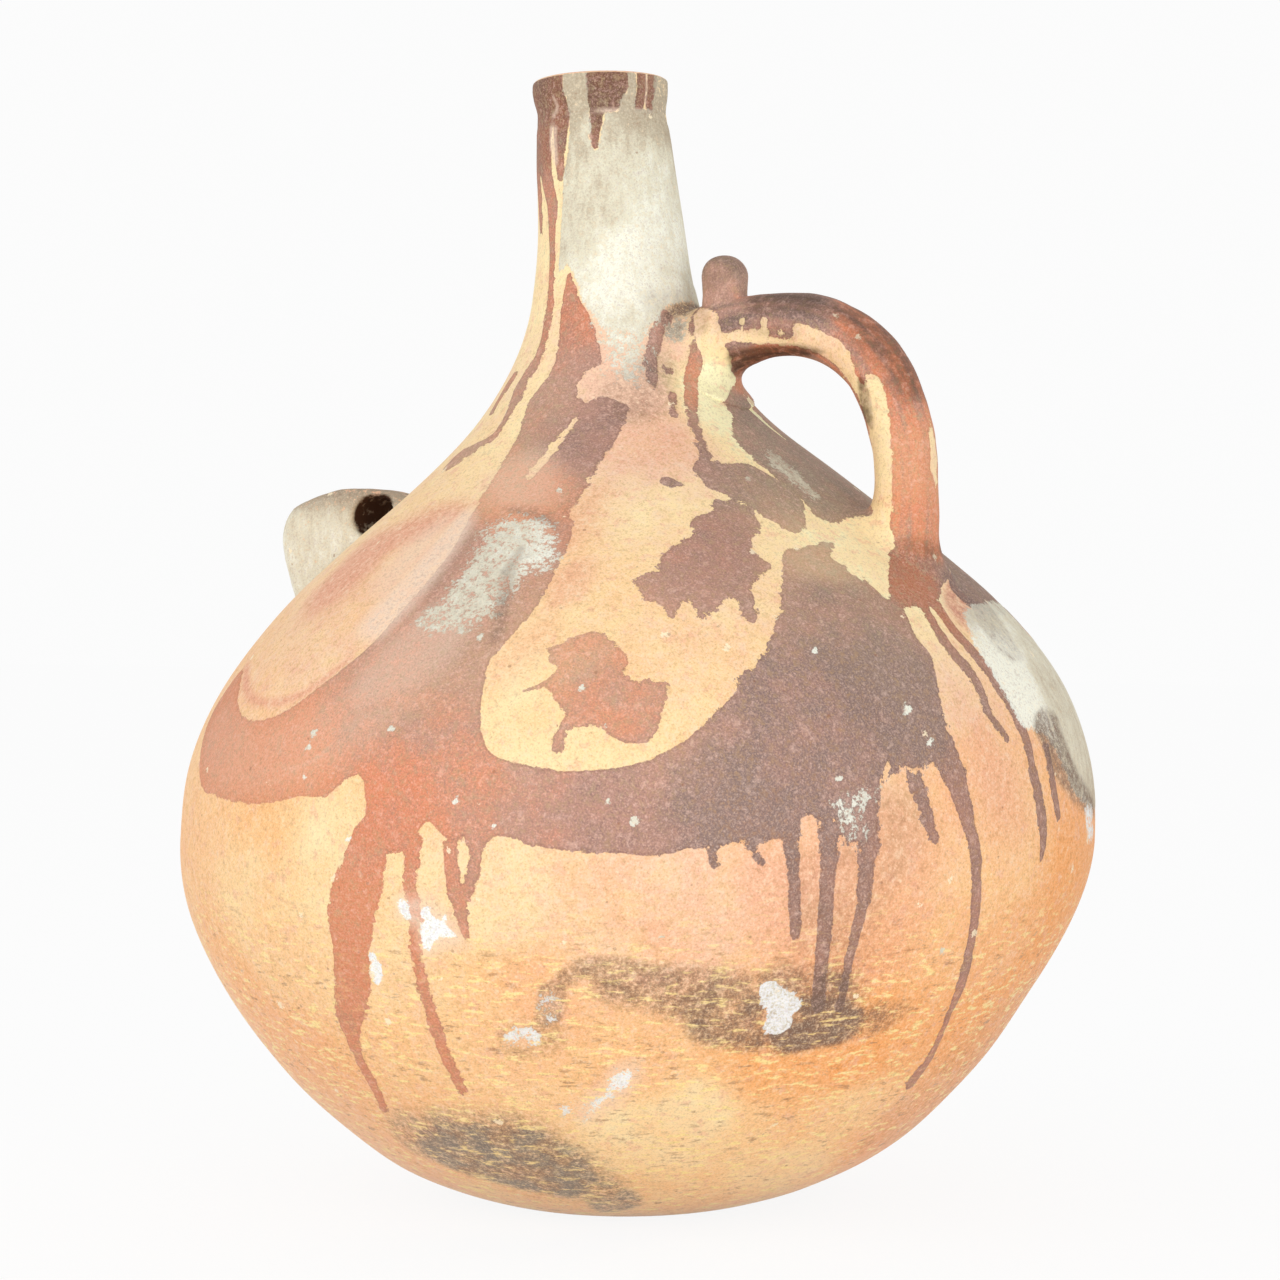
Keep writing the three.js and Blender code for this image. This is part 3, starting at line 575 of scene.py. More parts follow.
class WallMark:
    """A mark drawn on the wall, kept as angle and distance along it."""

    def __init__(self, theta, along, widths=None):
        self.closed = widths is None
        rows = [theta, along] if self.closed else [theta, along, widths]
        self.middle = np.arctan2(np.sin(theta).mean(), np.cos(theta).mean())
        rows[0] = (theta - self.middle + math.pi) % (2 * math.pi) - math.pi
        self.points = rounded(np.stack(rows, -1), self.closed)

    def distance(self, theta, along):
        turn = (theta - self.middle + math.pi) % (2 * math.pi) - math.pi
        radius = wall_radius(self.points[:, 1]).mean()
        here = wall_radius(along)
        low, high = self.points.min(0), self.points.max(0)
        near = (turn * here > low[0] * here - FAR) & (turn * here < high[0] * here + FAR)
        near &= (along > low[1] - FAR) & (along < high[1] + FAR)
        found = np.full(along.shape, FAR)
        if near.any():
            flat = self.points[:, :2] * [radius, 1.0]
            half = None if self.closed else np.maximum(self.points[:, 2], 0.6) / 2
            gap = outline_distance(flat, turn[near] * radius, along[near], self.closed, half)
            found[near] = np.minimum(gap, FAR)
        return found


def run_outline(points):
    """The outline of a run given by its middle line and widths."""
    line = rounded(points, False, 2)
    ahead = np.gradient(line[:, :2], axis=0)
    ahead /= np.hypot(*ahead.T)[:, None]
    aside = np.stack([-ahead[:, 1], ahead[:, 0]], -1) * line[:, 2:] / 2
    tip = line[-1:, :2] + ahead[-1:] * line[-1:, 2:] / 2
    return np.vstack([line[:, :2] + aside, tip, (line[:, :2] - aside)[::-1]])


def picture_mark(points):
    """A mark given by points of the picture, with widths in px where it is a run."""
    points = np.array(points, float)
    return WallMark(*on_wall(points if points.shape[1] == 2 else run_outline(points)))


def back_mark(points):
    points = np.array(points, float)
    widths = points[:, 2] if points.shape[1] == 3 else None
    return WallMark(np.radians(points[:, 0]), along_at(points[:, 1]), widths)


SLIP_MARKS = [picture_mark(m) for m in SLIP_PATCHES + SLIP_RUNS]
SLIP_MARKS += [back_mark(m) for m in BACK_RUNS + BACK_PATCHES]
BARE_MARKS = [picture_mark(m) for m in BARE_PATCHES + BARE_RUNS]


def soft_marks(patches, place):
    return [(strength, feather, place(points)) for strength, feather, points in patches]


SOFT_PATCHES = {"chalk": CHALK_PATCHES, "chip_and_highlight": CHIPS_AND_PAINTED_HIGHLIGHTS, "soot": SOOT_AND_SHADOW_PATCHES, "wash": WASH_PATCHES,
                "haze": HAZE_PATCHES}
SOFT_MARKS = {name: soft_marks(patches, picture_mark) for name, patches in SOFT_PATCHES.items()}
SOFT_MARKS["chalk"] += soft_marks(BACK_CHALK, back_mark)

# How softly values drift between their anchors: on the wall in square mm, on the coil in square px
WALL_DRIFT, COIL_DRIFT = 60.0, 200.0


def between(points, places, values, spread):
    """Values at points, drifting between those at some places."""
    total = np.zeros(len(points))
    weights = np.zeros(len(points))
    for place, value in zip(places, values):
        weight = 1.0 / (((points - place) ** 2).sum(1) + spread) ** 2
        total += weight * value
        weights += weight
    return total / weights


def drift(anchors):
    """A field that drifts between values at places of the picture, as a function of points."""
    anchors = np.array(anchors, float)
    theta, along = on_wall(anchors)
    places = wall_points(along, theta)
    return lambda points: between(points, places, anchors[:, 2], WALL_DRIFT)


ANCHORS = {"tone": TONE, "veil": VEIL, "sun": SUN_AND_PAINTED_LIGHT, "warm": WARM, "pale": PALE, "fired": FIRED, "fray": FRAY}
DRIFTS = {name: drift(anchors) for name, anchors in ANCHORS.items()}
# The stripes that reach the lip run on over it from this far below
LIP_LAP = 4.0


def wall_finish(theta, along):
    """The finish of the outer wall at its points, as one number per point for each layer."""
    edge = np.full(along.shape, FAR)
    points = wall_points(along, theta)
    lay = along
    along = np.minimum(along, WALL_LENGTH - LIP_LAP)
    for mark in SLIP_MARKS:
        edge = np.minimum(edge, mark.distance(theta, along))
    for mark in BARE_MARKS:
        edge = np.maximum(edge, -mark.distance(theta, along))
    finish = {name: field(points) for name, field in DRIFTS.items()}
    for name, marks in SOFT_MARKS.items():
        finish[name] = np.zeros(along.shape)
        for strength, feather, mark in marks:
            cover = strength * smooth(-mark.distance(theta, along), -feather, feather)
            finish[name] = np.maximum(finish[name], cover)
    finish.update(edge=edge, dark=np.zeros(along.shape), lay=lay)
    return finish


# Where the wall swells or sinks: angle in degrees, height in mm, their spreads, and how far in mm
HAND_BULGES = [(-150, 100, 35, 36, 1.2), (-150, 150, 30, 22, -2.0), (-150, 382, 60, 26, -1.3),
               (-150, 14, 35, 16, 1.0), (-150, 36, 35, 16, -0.4), (30, 320, 55, 26, -2.9),
               (30, 366, 60, 18, -1.2), (30, 26, 40, 22, 1.4), (30, 86, 35, 26, -1.8)]
# Slow waves left by the hands: size in mm, waves round the wall, phase, and mm along it per radian
HAND_WAVES = [(0.3, 2, 0.8, 90.0), (0.24, 3, -1.1, -60.0), (0.2, 5, 0.4, 37.0), (0.14, 8, 0.0, -21.0)]


def hand(theta, along):
    """How far a hand-smoothed wall strays from its outline."""
    bulge = np.zeros(along.shape)
    for angle, height, spread, reach, out in HAND_BULGES:
        turn = (theta - math.radians(angle) + math.pi) % (2 * math.pi) - math.pi
        away = (turn / math.radians(spread)) ** 2 + ((along - along_at(height)) / reach) ** 2
        bulge += out * np.exp(-away)
    waves = np.zeros(along.shape)
    for size, count, phase, length in HAND_WAVES:
        waves += size * np.sin(count * theta + phase + along / length)
    dents = 0.12 * np.sin(13 * theta + along / 11.0) * np.sin(along / 17.0 + 2 * theta)
    calm = smooth(along, 4.0, 40.0) * (1 - 0.6 * smooth(along, THROAT_SEAM - 40.0, THROAT_SEAM))
    groove = -0.35 * np.exp(-(((along - COLLAR_SEAM + 2.0) / 0.9) ** 2))
    waist = -0.8 * np.exp(-(((along - COLLAR_SEAM - 4.0) / 4.0) ** 2))
    return (waves + dents) * calm + bulge + groove + waist


# How far slip and lime stand on the clay, and chips and painted highlights lie in it
SLIP_RELIEF, CHALK_RELIEF, CHIP_AND_HIGHLIGHT_DEPTH = 0.3, 0.25, 0.3


def outer_row(theta, along):
    """Points and finish of the outer wall, with the slip and the lime standing on the clay."""
    finish = wall_finish(theta, along)
    out = hand(theta, along)
    out = out + SLIP_RELIEF * smooth(-finish["edge"], -0.8, 0.8) * finish["veil"]
    out = out + CHALK_RELIEF * smooth(finish["chalk"], 0.3, 0.8)
    out = out - CHIP_AND_HIGHLIGHT_DEPTH * smooth(finish["chip_and_highlight"], 0.5, 1.0)
    return wall_points(along, theta, out), finish


def columns():
    front = np.linspace(-FRONT_HALF, FRONT_HALF, FRONT_COLUMNS, endpoint=False)
    back = np.linspace(FRONT_HALF, 2 * math.pi - FRONT_HALF, BACK_COLUMNS, endpoint=False)
    return FRONT_MIDDLE + np.concatenate([front, back])


COLUMNS = columns()
PLAIN_FINISH = {"edge": FAR, "chalk": 0.0, "chip_and_highlight": 0.0, "soot": 0.2, "wash": 0.0, "haze": 0.0, "dark": 0.0,
                "tone": 0.5, "veil": 1.0, "sun": 0.2, "warm": 0.6, "pale": 0.5, "fired": 0.0, "fray": 1.0,
                "lay": WALL_LENGTH}
LIP_FINISH = dict(PLAIN_FINISH, edge=3.0, soot=0.0, sun=0.2, warm=0.1, fray=0.2)
LIP_ROWS, LIP_PAINTED, LIP_SQUARE, LIP_RISE = 11, 2, 0.4, 0.9


def grid_faces(rows, width, closed):
    """Quads between rows of a turned mesh; a closed one also joins its last row to its first."""
    first = np.arange(rows if closed else rows - 1)[:, None] * width
    second = (first + width) % (rows * width)
    here = np.arange(width)[None, :]
    after = (here + 1) % width
    return np.stack([first + here, first + after, second + after, second + here], -1).reshape(-1, 4)


def plain_row(radius, height):
    return settle(np.full(COLUMNS.shape, radius), COLUMNS, np.full(COLUMNS.shape, height))


def inner_row(along):
    flat = np.full(COLUMNS.shape, along)
    return wall_points(flat, COLUMNS, -thickness(flat))


def wall_stretch(name):
    """Outer and inner ends of a ring of the wall: each seam is bevelled, lower outside than inside."""
    seams = {"pad": (0.0, PAD_REACH), "bowl": (PAD_REACH, BELLY_SEAM), "shoulder": (BELLY_SEAM, THROAT_SEAM),
             "neck": (THROAT_SEAM, COLLAR_SEAM), "collar": (COLLAR_SEAM, WALL_LENGTH)}
    lower, upper = seams[name]
    start = lower if name == "pad" else lower - SEAM_BEVEL / 2
    end = upper if name == "collar" else upper - SEAM_BEVEL / 2
    inner_start = lower if name == "pad" else lower + SEAM_BEVEL / 2
    inner_end = upper if name == "collar" else upper + SEAM_BEVEL / 2
    return start, end, inner_start, inner_end


def outer_rows(name):
    start, end, _, _ = wall_stretch(name)
    count = max(6, int((end - start) / ROW_STEP))
    along = np.repeat(np.linspace(start, end, count), len(COLUMNS))
    points, finish = outer_row(np.tile(COLUMNS, count), along)
    return points, finish, count


def ring_mesh(name):
    """A ring of the wall as one closed skin, with its painted outer rows first."""
    points, finish, count = outer_rows(name)
    _, _, inner_start, inner_end = wall_stretch(name)
    lip = []
    if name == "collar":
        edge = points[-len(COLUMNS):]
        inner = inner_row(WALL_LENGTH)
        middle = (edge + inner) / 2
        uneven = LIP_THICKNESS / 2 + LIP_RISE * (0.5 - 0.5 * np.cos(COLUMNS - math.radians(30.0)))
        for turn in np.linspace(0, math.pi, LIP_ROWS + 2)[1:-1]:
            rise = np.outer(uneven * math.sin(turn) ** LIP_SQUARE, [0.0, 0.0, 1.0])
            across = math.copysign(abs(math.cos(turn)) ** LIP_SQUARE, math.cos(turn))
            lip.append(middle + (edge - middle) * across + rise)
    inside = [inner_row(a) for a in np.linspace(inner_end, inner_start, INNER_ROWS)]
    rest = np.vstack(lip + inside)
    verts = np.vstack([points, rest])
    faces = grid_faces(len(verts) // len(COLUMNS), len(COLUMNS), True)
    for key, values in finish.items():
        tail = np.full(len(rest), PLAIN_FINISH[key])
        if lip:
            tail[:len(lip) * len(COLUMNS)] = LIP_FINISH[key]
            tail[:LIP_PAINTED * len(COLUMNS)] = np.tile(values[-len(COLUMNS):], LIP_PAINTED)
        finish[key] = np.concatenate([values, tail])
    sharp_rows = [0, count - 1] if not lip else [0]
    return verts, faces, finish, [np.arange(len(COLUMNS)) + r * len(COLUMNS) for r in sharp_rows]


def base_mesh():
    """The base pad: a flat underside, the painted edge and a floor, closed at its two middles."""
    points, finish, count = outer_rows("pad")
    _, _, _, inner_end = wall_stretch("pad")
    under = [plain_row(FOOT_RADIUS * share, 0.0) for share in (0.06, 0.3, 0.55, 0.8, 0.94)]
    inside = [inner_row(a) for a in np.linspace(inner_end, 0.0, 6)]
    floor_edge = np.hypot(*inside[-1][0, :2] - [axis_shift(PAD_THICKNESS), 0.0])
    floor = [plain_row(floor_edge * share, PAD_THICKNESS) for share in (0.7, 0.35, 0.06)]
    rows = np.vstack(under + [points] + inside + floor)
    width = len(COLUMNS)
    poles = np.array([[axis_shift(0.0), 0.0, 0.0], [axis_shift(PAD_THICKNESS), 0.0, PAD_THICKNESS]])
    verts = np.vstack([rows, poles])
    ring = np.arange(width)
    last = len(rows) - width
    caps = [[len(rows), (j + 1) % width, j] for j in ring]
    caps += [[len(rows) + 1, last + j, last + (j + 1) % width] for j in ring]
    faces = grid_faces(len(rows) // width, width, False).tolist() + caps
    for key, values in finish.items():
        head = np.full(len(under) * width, PLAIN_FINISH[key])
        tail = np.full(len(verts) - len(head) - len(values), PLAIN_FINISH[key])
        finish[key] = np.concatenate([head, values, tail])
    edge = len(under) + count - 1
    return verts, faces, finish, [ring + edge * width]


def surface_net(field, low, high, step):
    """The zero surface of a field that is negative inside, with one vertex in each crossed cell."""
    axes = [np.arange(a, b + step, step) for a, b in zip(low, high)]
    spots = np.stack(np.meshgrid(*axes, indexing="ij"), -1)
    shape = spots.shape[:3]
    value = np.concatenate([field(part) for part in np.array_split(spots.reshape(-1, 3), 40)]).reshape(shape)
    inside = value < 0
    cells = tuple(n - 1 for n in shape)
    total = np.zeros(cells + (3,))
    count = np.zeros(cells)
    quads = []
    for axis in range(3):
        start = [slice(None)] * 3
        end = [slice(None)] * 3
        start[axis], end[axis] = slice(0, -1), slice(1, None)
        start, end = tuple(start), tuple(end)
        crossed = inside[start] != inside[end]
        share = np.where(crossed, value[start] / np.where(crossed, value[start] - value[end], 1.0), 0.0)
        cross = spots[start] + share[..., None] * (spots[end] - spots[start])
        u, v = [k for k in range(3) if k != axis]
        for du in (0, 1):
            for dv in (0, 1):
                part = [slice(None)] * 3
                part[u] = slice(du, shape[u] - 1 + du)
                part[v] = slice(dv, shape[v] - 1 + dv)
                hit = crossed[tuple(part)]
                count += hit
                total += np.where(hit[..., None], cross[tuple(part)], 0.0)
        at = np.argwhere(crossed)
        at = at[(at[:, u] > 0) & (at[:, v] > 0) & (at[:, u] < shape[u] - 1) & (at[:, v] < shape[v] - 1)]
        corner = []
        for du, dv in ((-1, -1), (0, -1), (0, 0), (-1, 0)):
            cell = at.copy()
            cell[:, u] += du
            cell[:, v] += dv
            corner.append(np.ravel_multi_index(cell.T, cells))
        quad = np.stack(corner, -1)
        flip = inside[start][tuple(at.T)] == (axis == 1)
        quad[flip] = quad[flip][:, ::-1]
        quads.append(quad)
    used = count.ravel() > 0
    number = np.cumsum(used) - 1
    verts = total.reshape(-1, 3)[used] / count.ravel()[used][:, None]
    return verts, number[np.vstack(quads)]


def join(a, b, reach):
    """Two fields joined by a smooth fillet."""
    blend = np.clip(0.5 + 0.5 * (b - a) / reach, 0.0, 1.0)
    return b + (a - b) * blend - reach * blend * (1 - blend)


def lumps(points, size, depth):
    """Soft unevenness of squeezed clay."""
    x, y, z = (points / size).T
    wave = np.sin(x * 2.1 + np.sin(y * 1.7 + 0.6)) + np.sin(y * 2.4 + np.sin(z * 1.9 + 1.2))
    return depth * (wave + np.sin(z * 2.2 + np.sin(x * 1.6 + 2.0))) / 3


def coil_lumps(points):
    return lumps(points, 11.0, 0.5) + lumps(points, 4.0, 0.12)


def tube_gap(points, line, radii):
    best = np.full(len(points), 1e6)
    for a, b, ra, rb in zip(line[:-1], line[1:], radii[:-1], radii[1:]):
        step = b - a
        t = np.clip((points - a) @ step / (step @ step), 0.0, 1.0)
        gap = np.sqrt((((points - a) - t[:, None] * step) ** 2).sum(1)) - ra - t * (rb - ra)
        best = np.minimum(best, gap)
    return best


def wall_x(height):
    return float(wall_radius(along_at(height)) + axis_shift(np.array(height)))


HANDLE_SAG, ROOT_FLARE, FOOT_FLARE, FOOT_STAND = 4.0, 3.4, 0.8, 1.0


def handle_line():
    throat, root = wall_x(HANDLE_TOP), wall_x(HANDLE_ROOT) + FOOT_STAND
    crown = throat + HANDLE_FULLNESS * (root - throat)
    bend = [root, 0.0, HANDLE_BEND]
    start = [throat - COIL_RADIUS, 0.0, HANDLE_TOP - HANDLE_SAG]
    rise = [crown, 0.0, HANDLE_TOP + HANDLE_RISE]
    fall = [root, 0.0, HANDLE_BEND + HANDLE_BEND_PULL]
    curve = bezier([start, rise, fall, bend], 40)
    drop = np.linspace(bend, [root, 0.0, HANDLE_ROOT - COIL_RADIUS], 10)
    return np.vstack([curve, drop[1:]])


HANDLE_LINE = handle_line()
# How deep luted clay sinks in and goes on inside, and how far its smear may reach
SINK, BURIED, SKIRT = 0.7, 4.0, 15.0
# Fillets of the handle at its top and its foot, and the heights between which they change
TOP_FILLET, FOOT_FILLET, FILLET_HEIGHTS = 4.0, 12.5, (332.0, 350.0)
# Foot and neck of the peg below its top, and how much the neck leans and narrows
PEG_FOOT, PEG_NECK, PEG_LEAN, PEG_WAIST = 27.0, 16.0, 0.3, 0.4


def handle_field(points):
    """The coil, flared where it was pressed onto the throat and the shoulder, with a web inside its foot."""
    run = np.linspace(0.0, 1.0, len(HANDLE_LINE))
    radii = COIL_RADIUS + ROOT_FLARE * smooth(-run, -0.2, 0.0) + FOOT_FLARE * smooth(run, 0.9, 1.0)
    coil = tube_gap(points, HANDLE_LINE, radii) + coil_lumps(points)
    wall = wall_gap(points) + SINK
    fillet = FOOT_FILLET + (TOP_FILLET - FOOT_FILLET) * smooth(points[:, 2], *FILLET_HEIGHTS)
    body = np.maximum(join(coil, wall, fillet), coil - SKIRT)
    return np.maximum(body, -(wall + BURIED))


def peg_field(points):
    foot = np.array([PEG_X, 0.0, PEG_TOP - PEG_FOOT])
    neck = np.array([PEG_X + PEG_LEAN, 0.0, PEG_TOP - PEG_NECK])
    head = np.array([PEG_X, 0.0, PEG_TOP - PEG_RADIUS])
    peg = tube_gap(points, np.array([foot, neck, head]), [PEG_RADIUS, PEG_RADIUS - PEG_WAIST, PEG_RADIUS])
    coil = tube_gap(points, HANDLE_LINE, np.full(len(HANDLE_LINE), COIL_RADIUS)) + SINK
    coil = coil + coil_lumps(points)
    body = np.maximum(join(peg + lumps(points, 6.0, 0.35), coil, 3.5), peg - 4.0)
    return np.maximum(body, -(coil + BURIED))


def lug_frame():
    """Seat of the lug on the sloped wall, with its directions out of the wall and up the slope."""
    along = along_at(LUG_SEAT)
    seat, beyond = wall_points(np.array([along, along]), np.full(2, math.pi), np.array([0.0, 1.0]))
    out = beyond - seat
    return seat, out, np.cross([0.0, 1.0, 0.0], out)


LUG_ORIGIN, LUG_OUT, LUG_UP = lug_frame()
# How far the lump stands out past the solid's lug, the roundness of its edge and its depth in the wall
LUG_RIM, LUG_EDGE, LUG_BURIED = 1.7, 6.5, 12.0


def lug_side():
    """The side of the lug in its own frame: up the slope, and out of the wall."""
    nose, stand, peak = LUG_NOSE, LUG_STAND, LUG_PEAK
    toe, heel = LUG_TOE + LUG_RIM, LUG_HEEL + LUG_RIM
    crest = [-peak, stand]
    belly = [toe - nose + LUG_RIM, stand / 2 + LUG_RIM]
    front = bezier([[toe, 0], belly, [LUG_RIM, stand - nose / 2 + LUG_RIM], crest], 14)
    shoulder = [-peak - 1.5 * nose, stand - nose]
    over = [-peak - 1.17 * nose, stand - 0.33 * nose]
    top = bezier([crest, [-peak - 0.67 * nose, stand], over, shoulder], 8)
    back = bezier([shoulder, [-heel + nose / 2, nose], [-heel + nose / 2, nose], [-heel, 0]], 10)
    return np.vstack([[[toe, -LUG_BURIED]], front, top[1:], back[1:], [[-heel, -LUG_BURIED]]])


LUG_SIDE = lug_side()
# The eye lies this much nearer the wall and higher than in the solid
EYE_OFFSET = np.array([3.6, 0.0, 0.4])


def eye_middle():
    along = along_at(EYE_SEAT)
    middle = wall_points(np.array([along]), np.array([math.pi]), np.array([EYE_RADIUS + EYE_WALL]))[0]
    return middle + EYE_OFFSET


EYE_MIDDLE, EYE_LENGTH, EYE_SLANT = eye_middle(), 1.18, 0.2


def eye_gap(points):
    across = points[:, 0] - EYE_MIDDLE[0] - EYE_SLANT * points[:, 1]
    reach = np.hypot(across / EYE_LENGTH, points[:, 2] - EYE_MIDDLE[2])
    return reach - EYE_RADIUS - 0.4 * (points[:, 1] / (LUG_WIDTH / 2)) ** 2


def lug_field(points):
    """A squeezed lump with a round edge, pierced by its eye and smeared onto the wall."""
    local = points - LUG_ORIGIN
    side = outline_distance(LUG_SIDE, local @ LUG_UP, local @ LUG_OUT, True)
    flat = np.abs(points[:, 1]) - LUG_WIDTH / 2
    a, b = side + LUG_EDGE, flat + LUG_EDGE
    lump = np.minimum(np.maximum(a, b), 0.0) + np.hypot(np.maximum(a, 0.0), np.maximum(b, 0.0)) - LUG_EDGE
    lump = lump + lumps(points, 9.0, 0.5) + lumps(points, 3.5, 0.15)
    wall = wall_gap(points) + SINK
    body = np.maximum(join(lump, wall, 8.0), lump - 9.0)
    body = -join(-body, eye_gap(points) + lumps(points, 5.0, 0.25), 1.6)
    return np.maximum(body, -(wall + BURIED))


# The handle's finish in the picture: bare cream strips and one painted highlight, slip bars over them, and
# dark brown on its top and along the underside of its top
HANDLE_BARE_AND_HIGHLIGHT = [
    [(794, 324), (806, 325), (822, 332), (838, 340), (848, 350), (852, 364), (857, 376), (863, 386),
     (867, 374), (876, 376), (884, 388), (888, 412), (891, 440), (892, 470), (892, 505), (886, 540),
     (881, 562), (886, 600), (880, 604), (840, 600), (820, 560), (850, 530), (868, 515), (868, 500),
     (871, 480), (871, 450), (868, 428), (862, 406), (854, 390), (844, 376), (832, 362), (816, 352),
     (800, 347), (793, 340)],
    [(718, 334), (740, 331), (760, 329), (766, 337), (792, 340), (793, 346), (760, 344), (735, 341),
     (720, 345)],
    [(694, 316), (716, 311), (720, 332), (724, 345), (729, 353), (732, 362), (727, 380), (726, 395),
     (722, 408), (735, 430), (700, 430), (700, 380)],
    # a painted highlight: a cream line down the right edge of the coil
    [(931, 420), (940, 420), (940, 484), (933, 480), (930, 450)],
    [(742, 319, 3), (742, 332, 3)],
    [(764, 320, 6), (764, 338, 6)],
    [(780, 328, 3), (781, 333, 4)],
]
HANDLE_BARS = [
    [(736, 360, 9), (734, 384, 10), (732, 404, 9)],
    [(895, 620, 30), (905, 590, 26)],
]
HANDLE_DARK_BROWN = [
    (0.52, 4.0, [(748, 294), (790, 288), (830, 297), (868, 316), (890, 340), (880, 346), (856, 330),
                 (824, 318), (780, 314), (752, 316)]),
    (0.7, 1.5, [(728, 350), (745, 348), (762, 345), (796, 345), (824, 352), (800, 358), (772, 364),
                (754, 372), (742, 384), (732, 372)]),
    (0.52, 6.0, [(834, 300), (880, 316), (912, 350), (928, 392), (902, 400), (878, 366), (852, 340)]),
    (0.65, 0.8, [(858, 378), (864, 380), (871, 402), (873, 428), (866, 422), (860, 400)]),
    (0.24, 3.0, [(704, 256), (744, 258), (742, 272), (724, 282), (704, 292)]),
    (0.44, 4.0, [(892, 546), (940, 546), (942, 602), (892, 606)]),
    (0.2, 2.0, [(718, 316), (760, 312), (796, 318), (794, 340), (740, 332), (720, 334)]),
    (0.22, 2.0, [(684, 312), (706, 309), (708, 330), (694, 336), (684, 330)]),
]
HANDLE_TONE = [(800, 305, 0.9), (740, 325, 0.8), (770, 355, 0.1), (860, 330, 0.25), (905, 380, 0.2),
               (915, 470, 0.0), (915, 540, 0.1), (910, 585, 0.1), (725, 270, 0.85), (735, 296, 0.6)]
HANDLE_VEIL = [(800, 305, 1.0), (740, 325, 1.0), (860, 330, 1.0), (900, 380, 1.0), (915, 470, 0.85),
               (915, 530, 0.95), (910, 585, 1.0), (725, 280, 0.92)]
# How yellow the coil's bare clay is; the highest value, by the throat under the handle's top, is painted
# light lifting clay in the handle's shadow
HANDLE_SUN_AND_PAINTED_LIGHT = [(715, 390, 2.6), (712, 330, 0.35), (712, 352, 1.15), (740, 337, 0.6), (825, 345, 0.5),
              (880, 400, 1.0), (885, 470, 0.8), (860, 550, 1.1)]


def picture_drift(anchors, pixels):
    anchors = np.array(anchors, float)
    return between(pixels, anchors[:, :2], anchors[:, 2], COIL_DRIFT)


def picture_distance(points, pixels):
    """Distance in mm from a mark of the picture, at the handle's distance from the camera."""
    scale = np.linalg.norm(EYE) / FOCAL_PX
    points = np.array(points, float)
    closed = points.shape[1] == 2
    curve = rounded(points, closed)
    half = None if closed else curve[:, 2] / 2
    return scale * outline_distance(curve[:, :2], pixels[:, 0], pixels[:, 1], closed, half)


def on_root(points, finish):
    """Let the finish of the wall run up onto what is luted to it."""
    height = points[:, 2]
    theta = np.arctan2(points[:, 1], points[:, 0] - axis_shift(height))
    wall = wall_finish(theta, along_at(height))
    up = smooth(wall_gap(points), 1.0, 7.0)
    return {key: wall[key] * (1 - up) + finish[key] * up for key in wall}


def coil_streaks(points):
    """Strokes of the brush along the coil, from -1 to 1, by the angle round its middle line."""
    nearest = np.argmin(((points[:, None, ::2] - HANDLE_LINE[None, :, ::2]) ** 2).sum(2), 1)
    ahead = np.gradient(HANDLE_LINE, axis=0)[nearest]
    out = points - HANDLE_LINE[nearest]
    outward = (out[:, 2] * ahead[:, 0] - out[:, 0] * ahead[:, 2]) / np.hypot(ahead[:, 0], ahead[:, 2])
    turn = np.arctan2(np.abs(out[:, 1]), outward)
    run = nearest / len(HANDLE_LINE)
    wide = np.sin(9.0 * turn + 2.5 * np.sin(6.0 * run))
    narrow = np.sin(23.0 * turn + 1.0 + 3.0 * np.sin(9.0 * run + 1.0))
    return 0.6 * wide + 0.4 * narrow


def coil_finish(points):
    pixels = in_picture(points)
    streaks = coil_streaks(points)
    edge = np.full(len(points), -8.0)
    for mark in HANDLE_BARE_AND_HIGHLIGHT:
        edge = np.maximum(edge, -picture_distance(mark, pixels))
    for mark in HANDLE_BARS:
        edge = np.minimum(edge, picture_distance(mark, pixels))
    darkening = np.zeros(len(points))
    for strength, feather, mark in HANDLE_DARK_BROWN:
        darkening = np.maximum(darkening, strength * smooth(-picture_distance(mark, pixels), -feather, feather))
    finish = {key: np.full(len(points), value) for key, value in PLAIN_FINISH.items()}
    finish.update(edge=edge, soot=np.zeros(len(points)), dark=darkening * (1 + 0.12 * streaks),
                  sun=picture_drift(HANDLE_SUN_AND_PAINTED_LIGHT, pixels), warm=np.full(len(points), 0.05),
                  tone=picture_drift(HANDLE_TONE, pixels) + 0.22 * streaks,
                  veil=picture_drift(HANDLE_VEIL, pixels), fired=0.06 + 0.06 * streaks)
    return finish


# Between these heights the lug grows grey and mauve
LUG_STAIN = (266.0, 290.0)


def lug_finish(points):
    finish = {key: np.full(len(points), value) for key, value in PLAIN_FINISH.items()}
    top = smooth(points[:, 2], *LUG_STAIN)
    # painted shade: the inside of the eye is made dark brown
    eye_shade = smooth(-eye_gap(points), -1.7, -0.5) * smooth(LUG_WIDTH / 2 - np.abs(points[:, 1]), 0.2, 2.2)
    finish.update(chalk=0.95 - 0.3 * top, soot=0.42 * top, wash=0.6 * top, dark=1.1 * eye_shade,
                  pale=0.62 - 0.8 * top)
    return finish


# Colours, as they read in the photograph
def srgb(red, green, blue):
    def linear(c):
        c = c / 255
        return c / 12.92 if c <= 0.04045 else ((c + 0.055) / 1.055) ** 2.4

    return (linear(red), linear(green), linear(blue), 1.0)


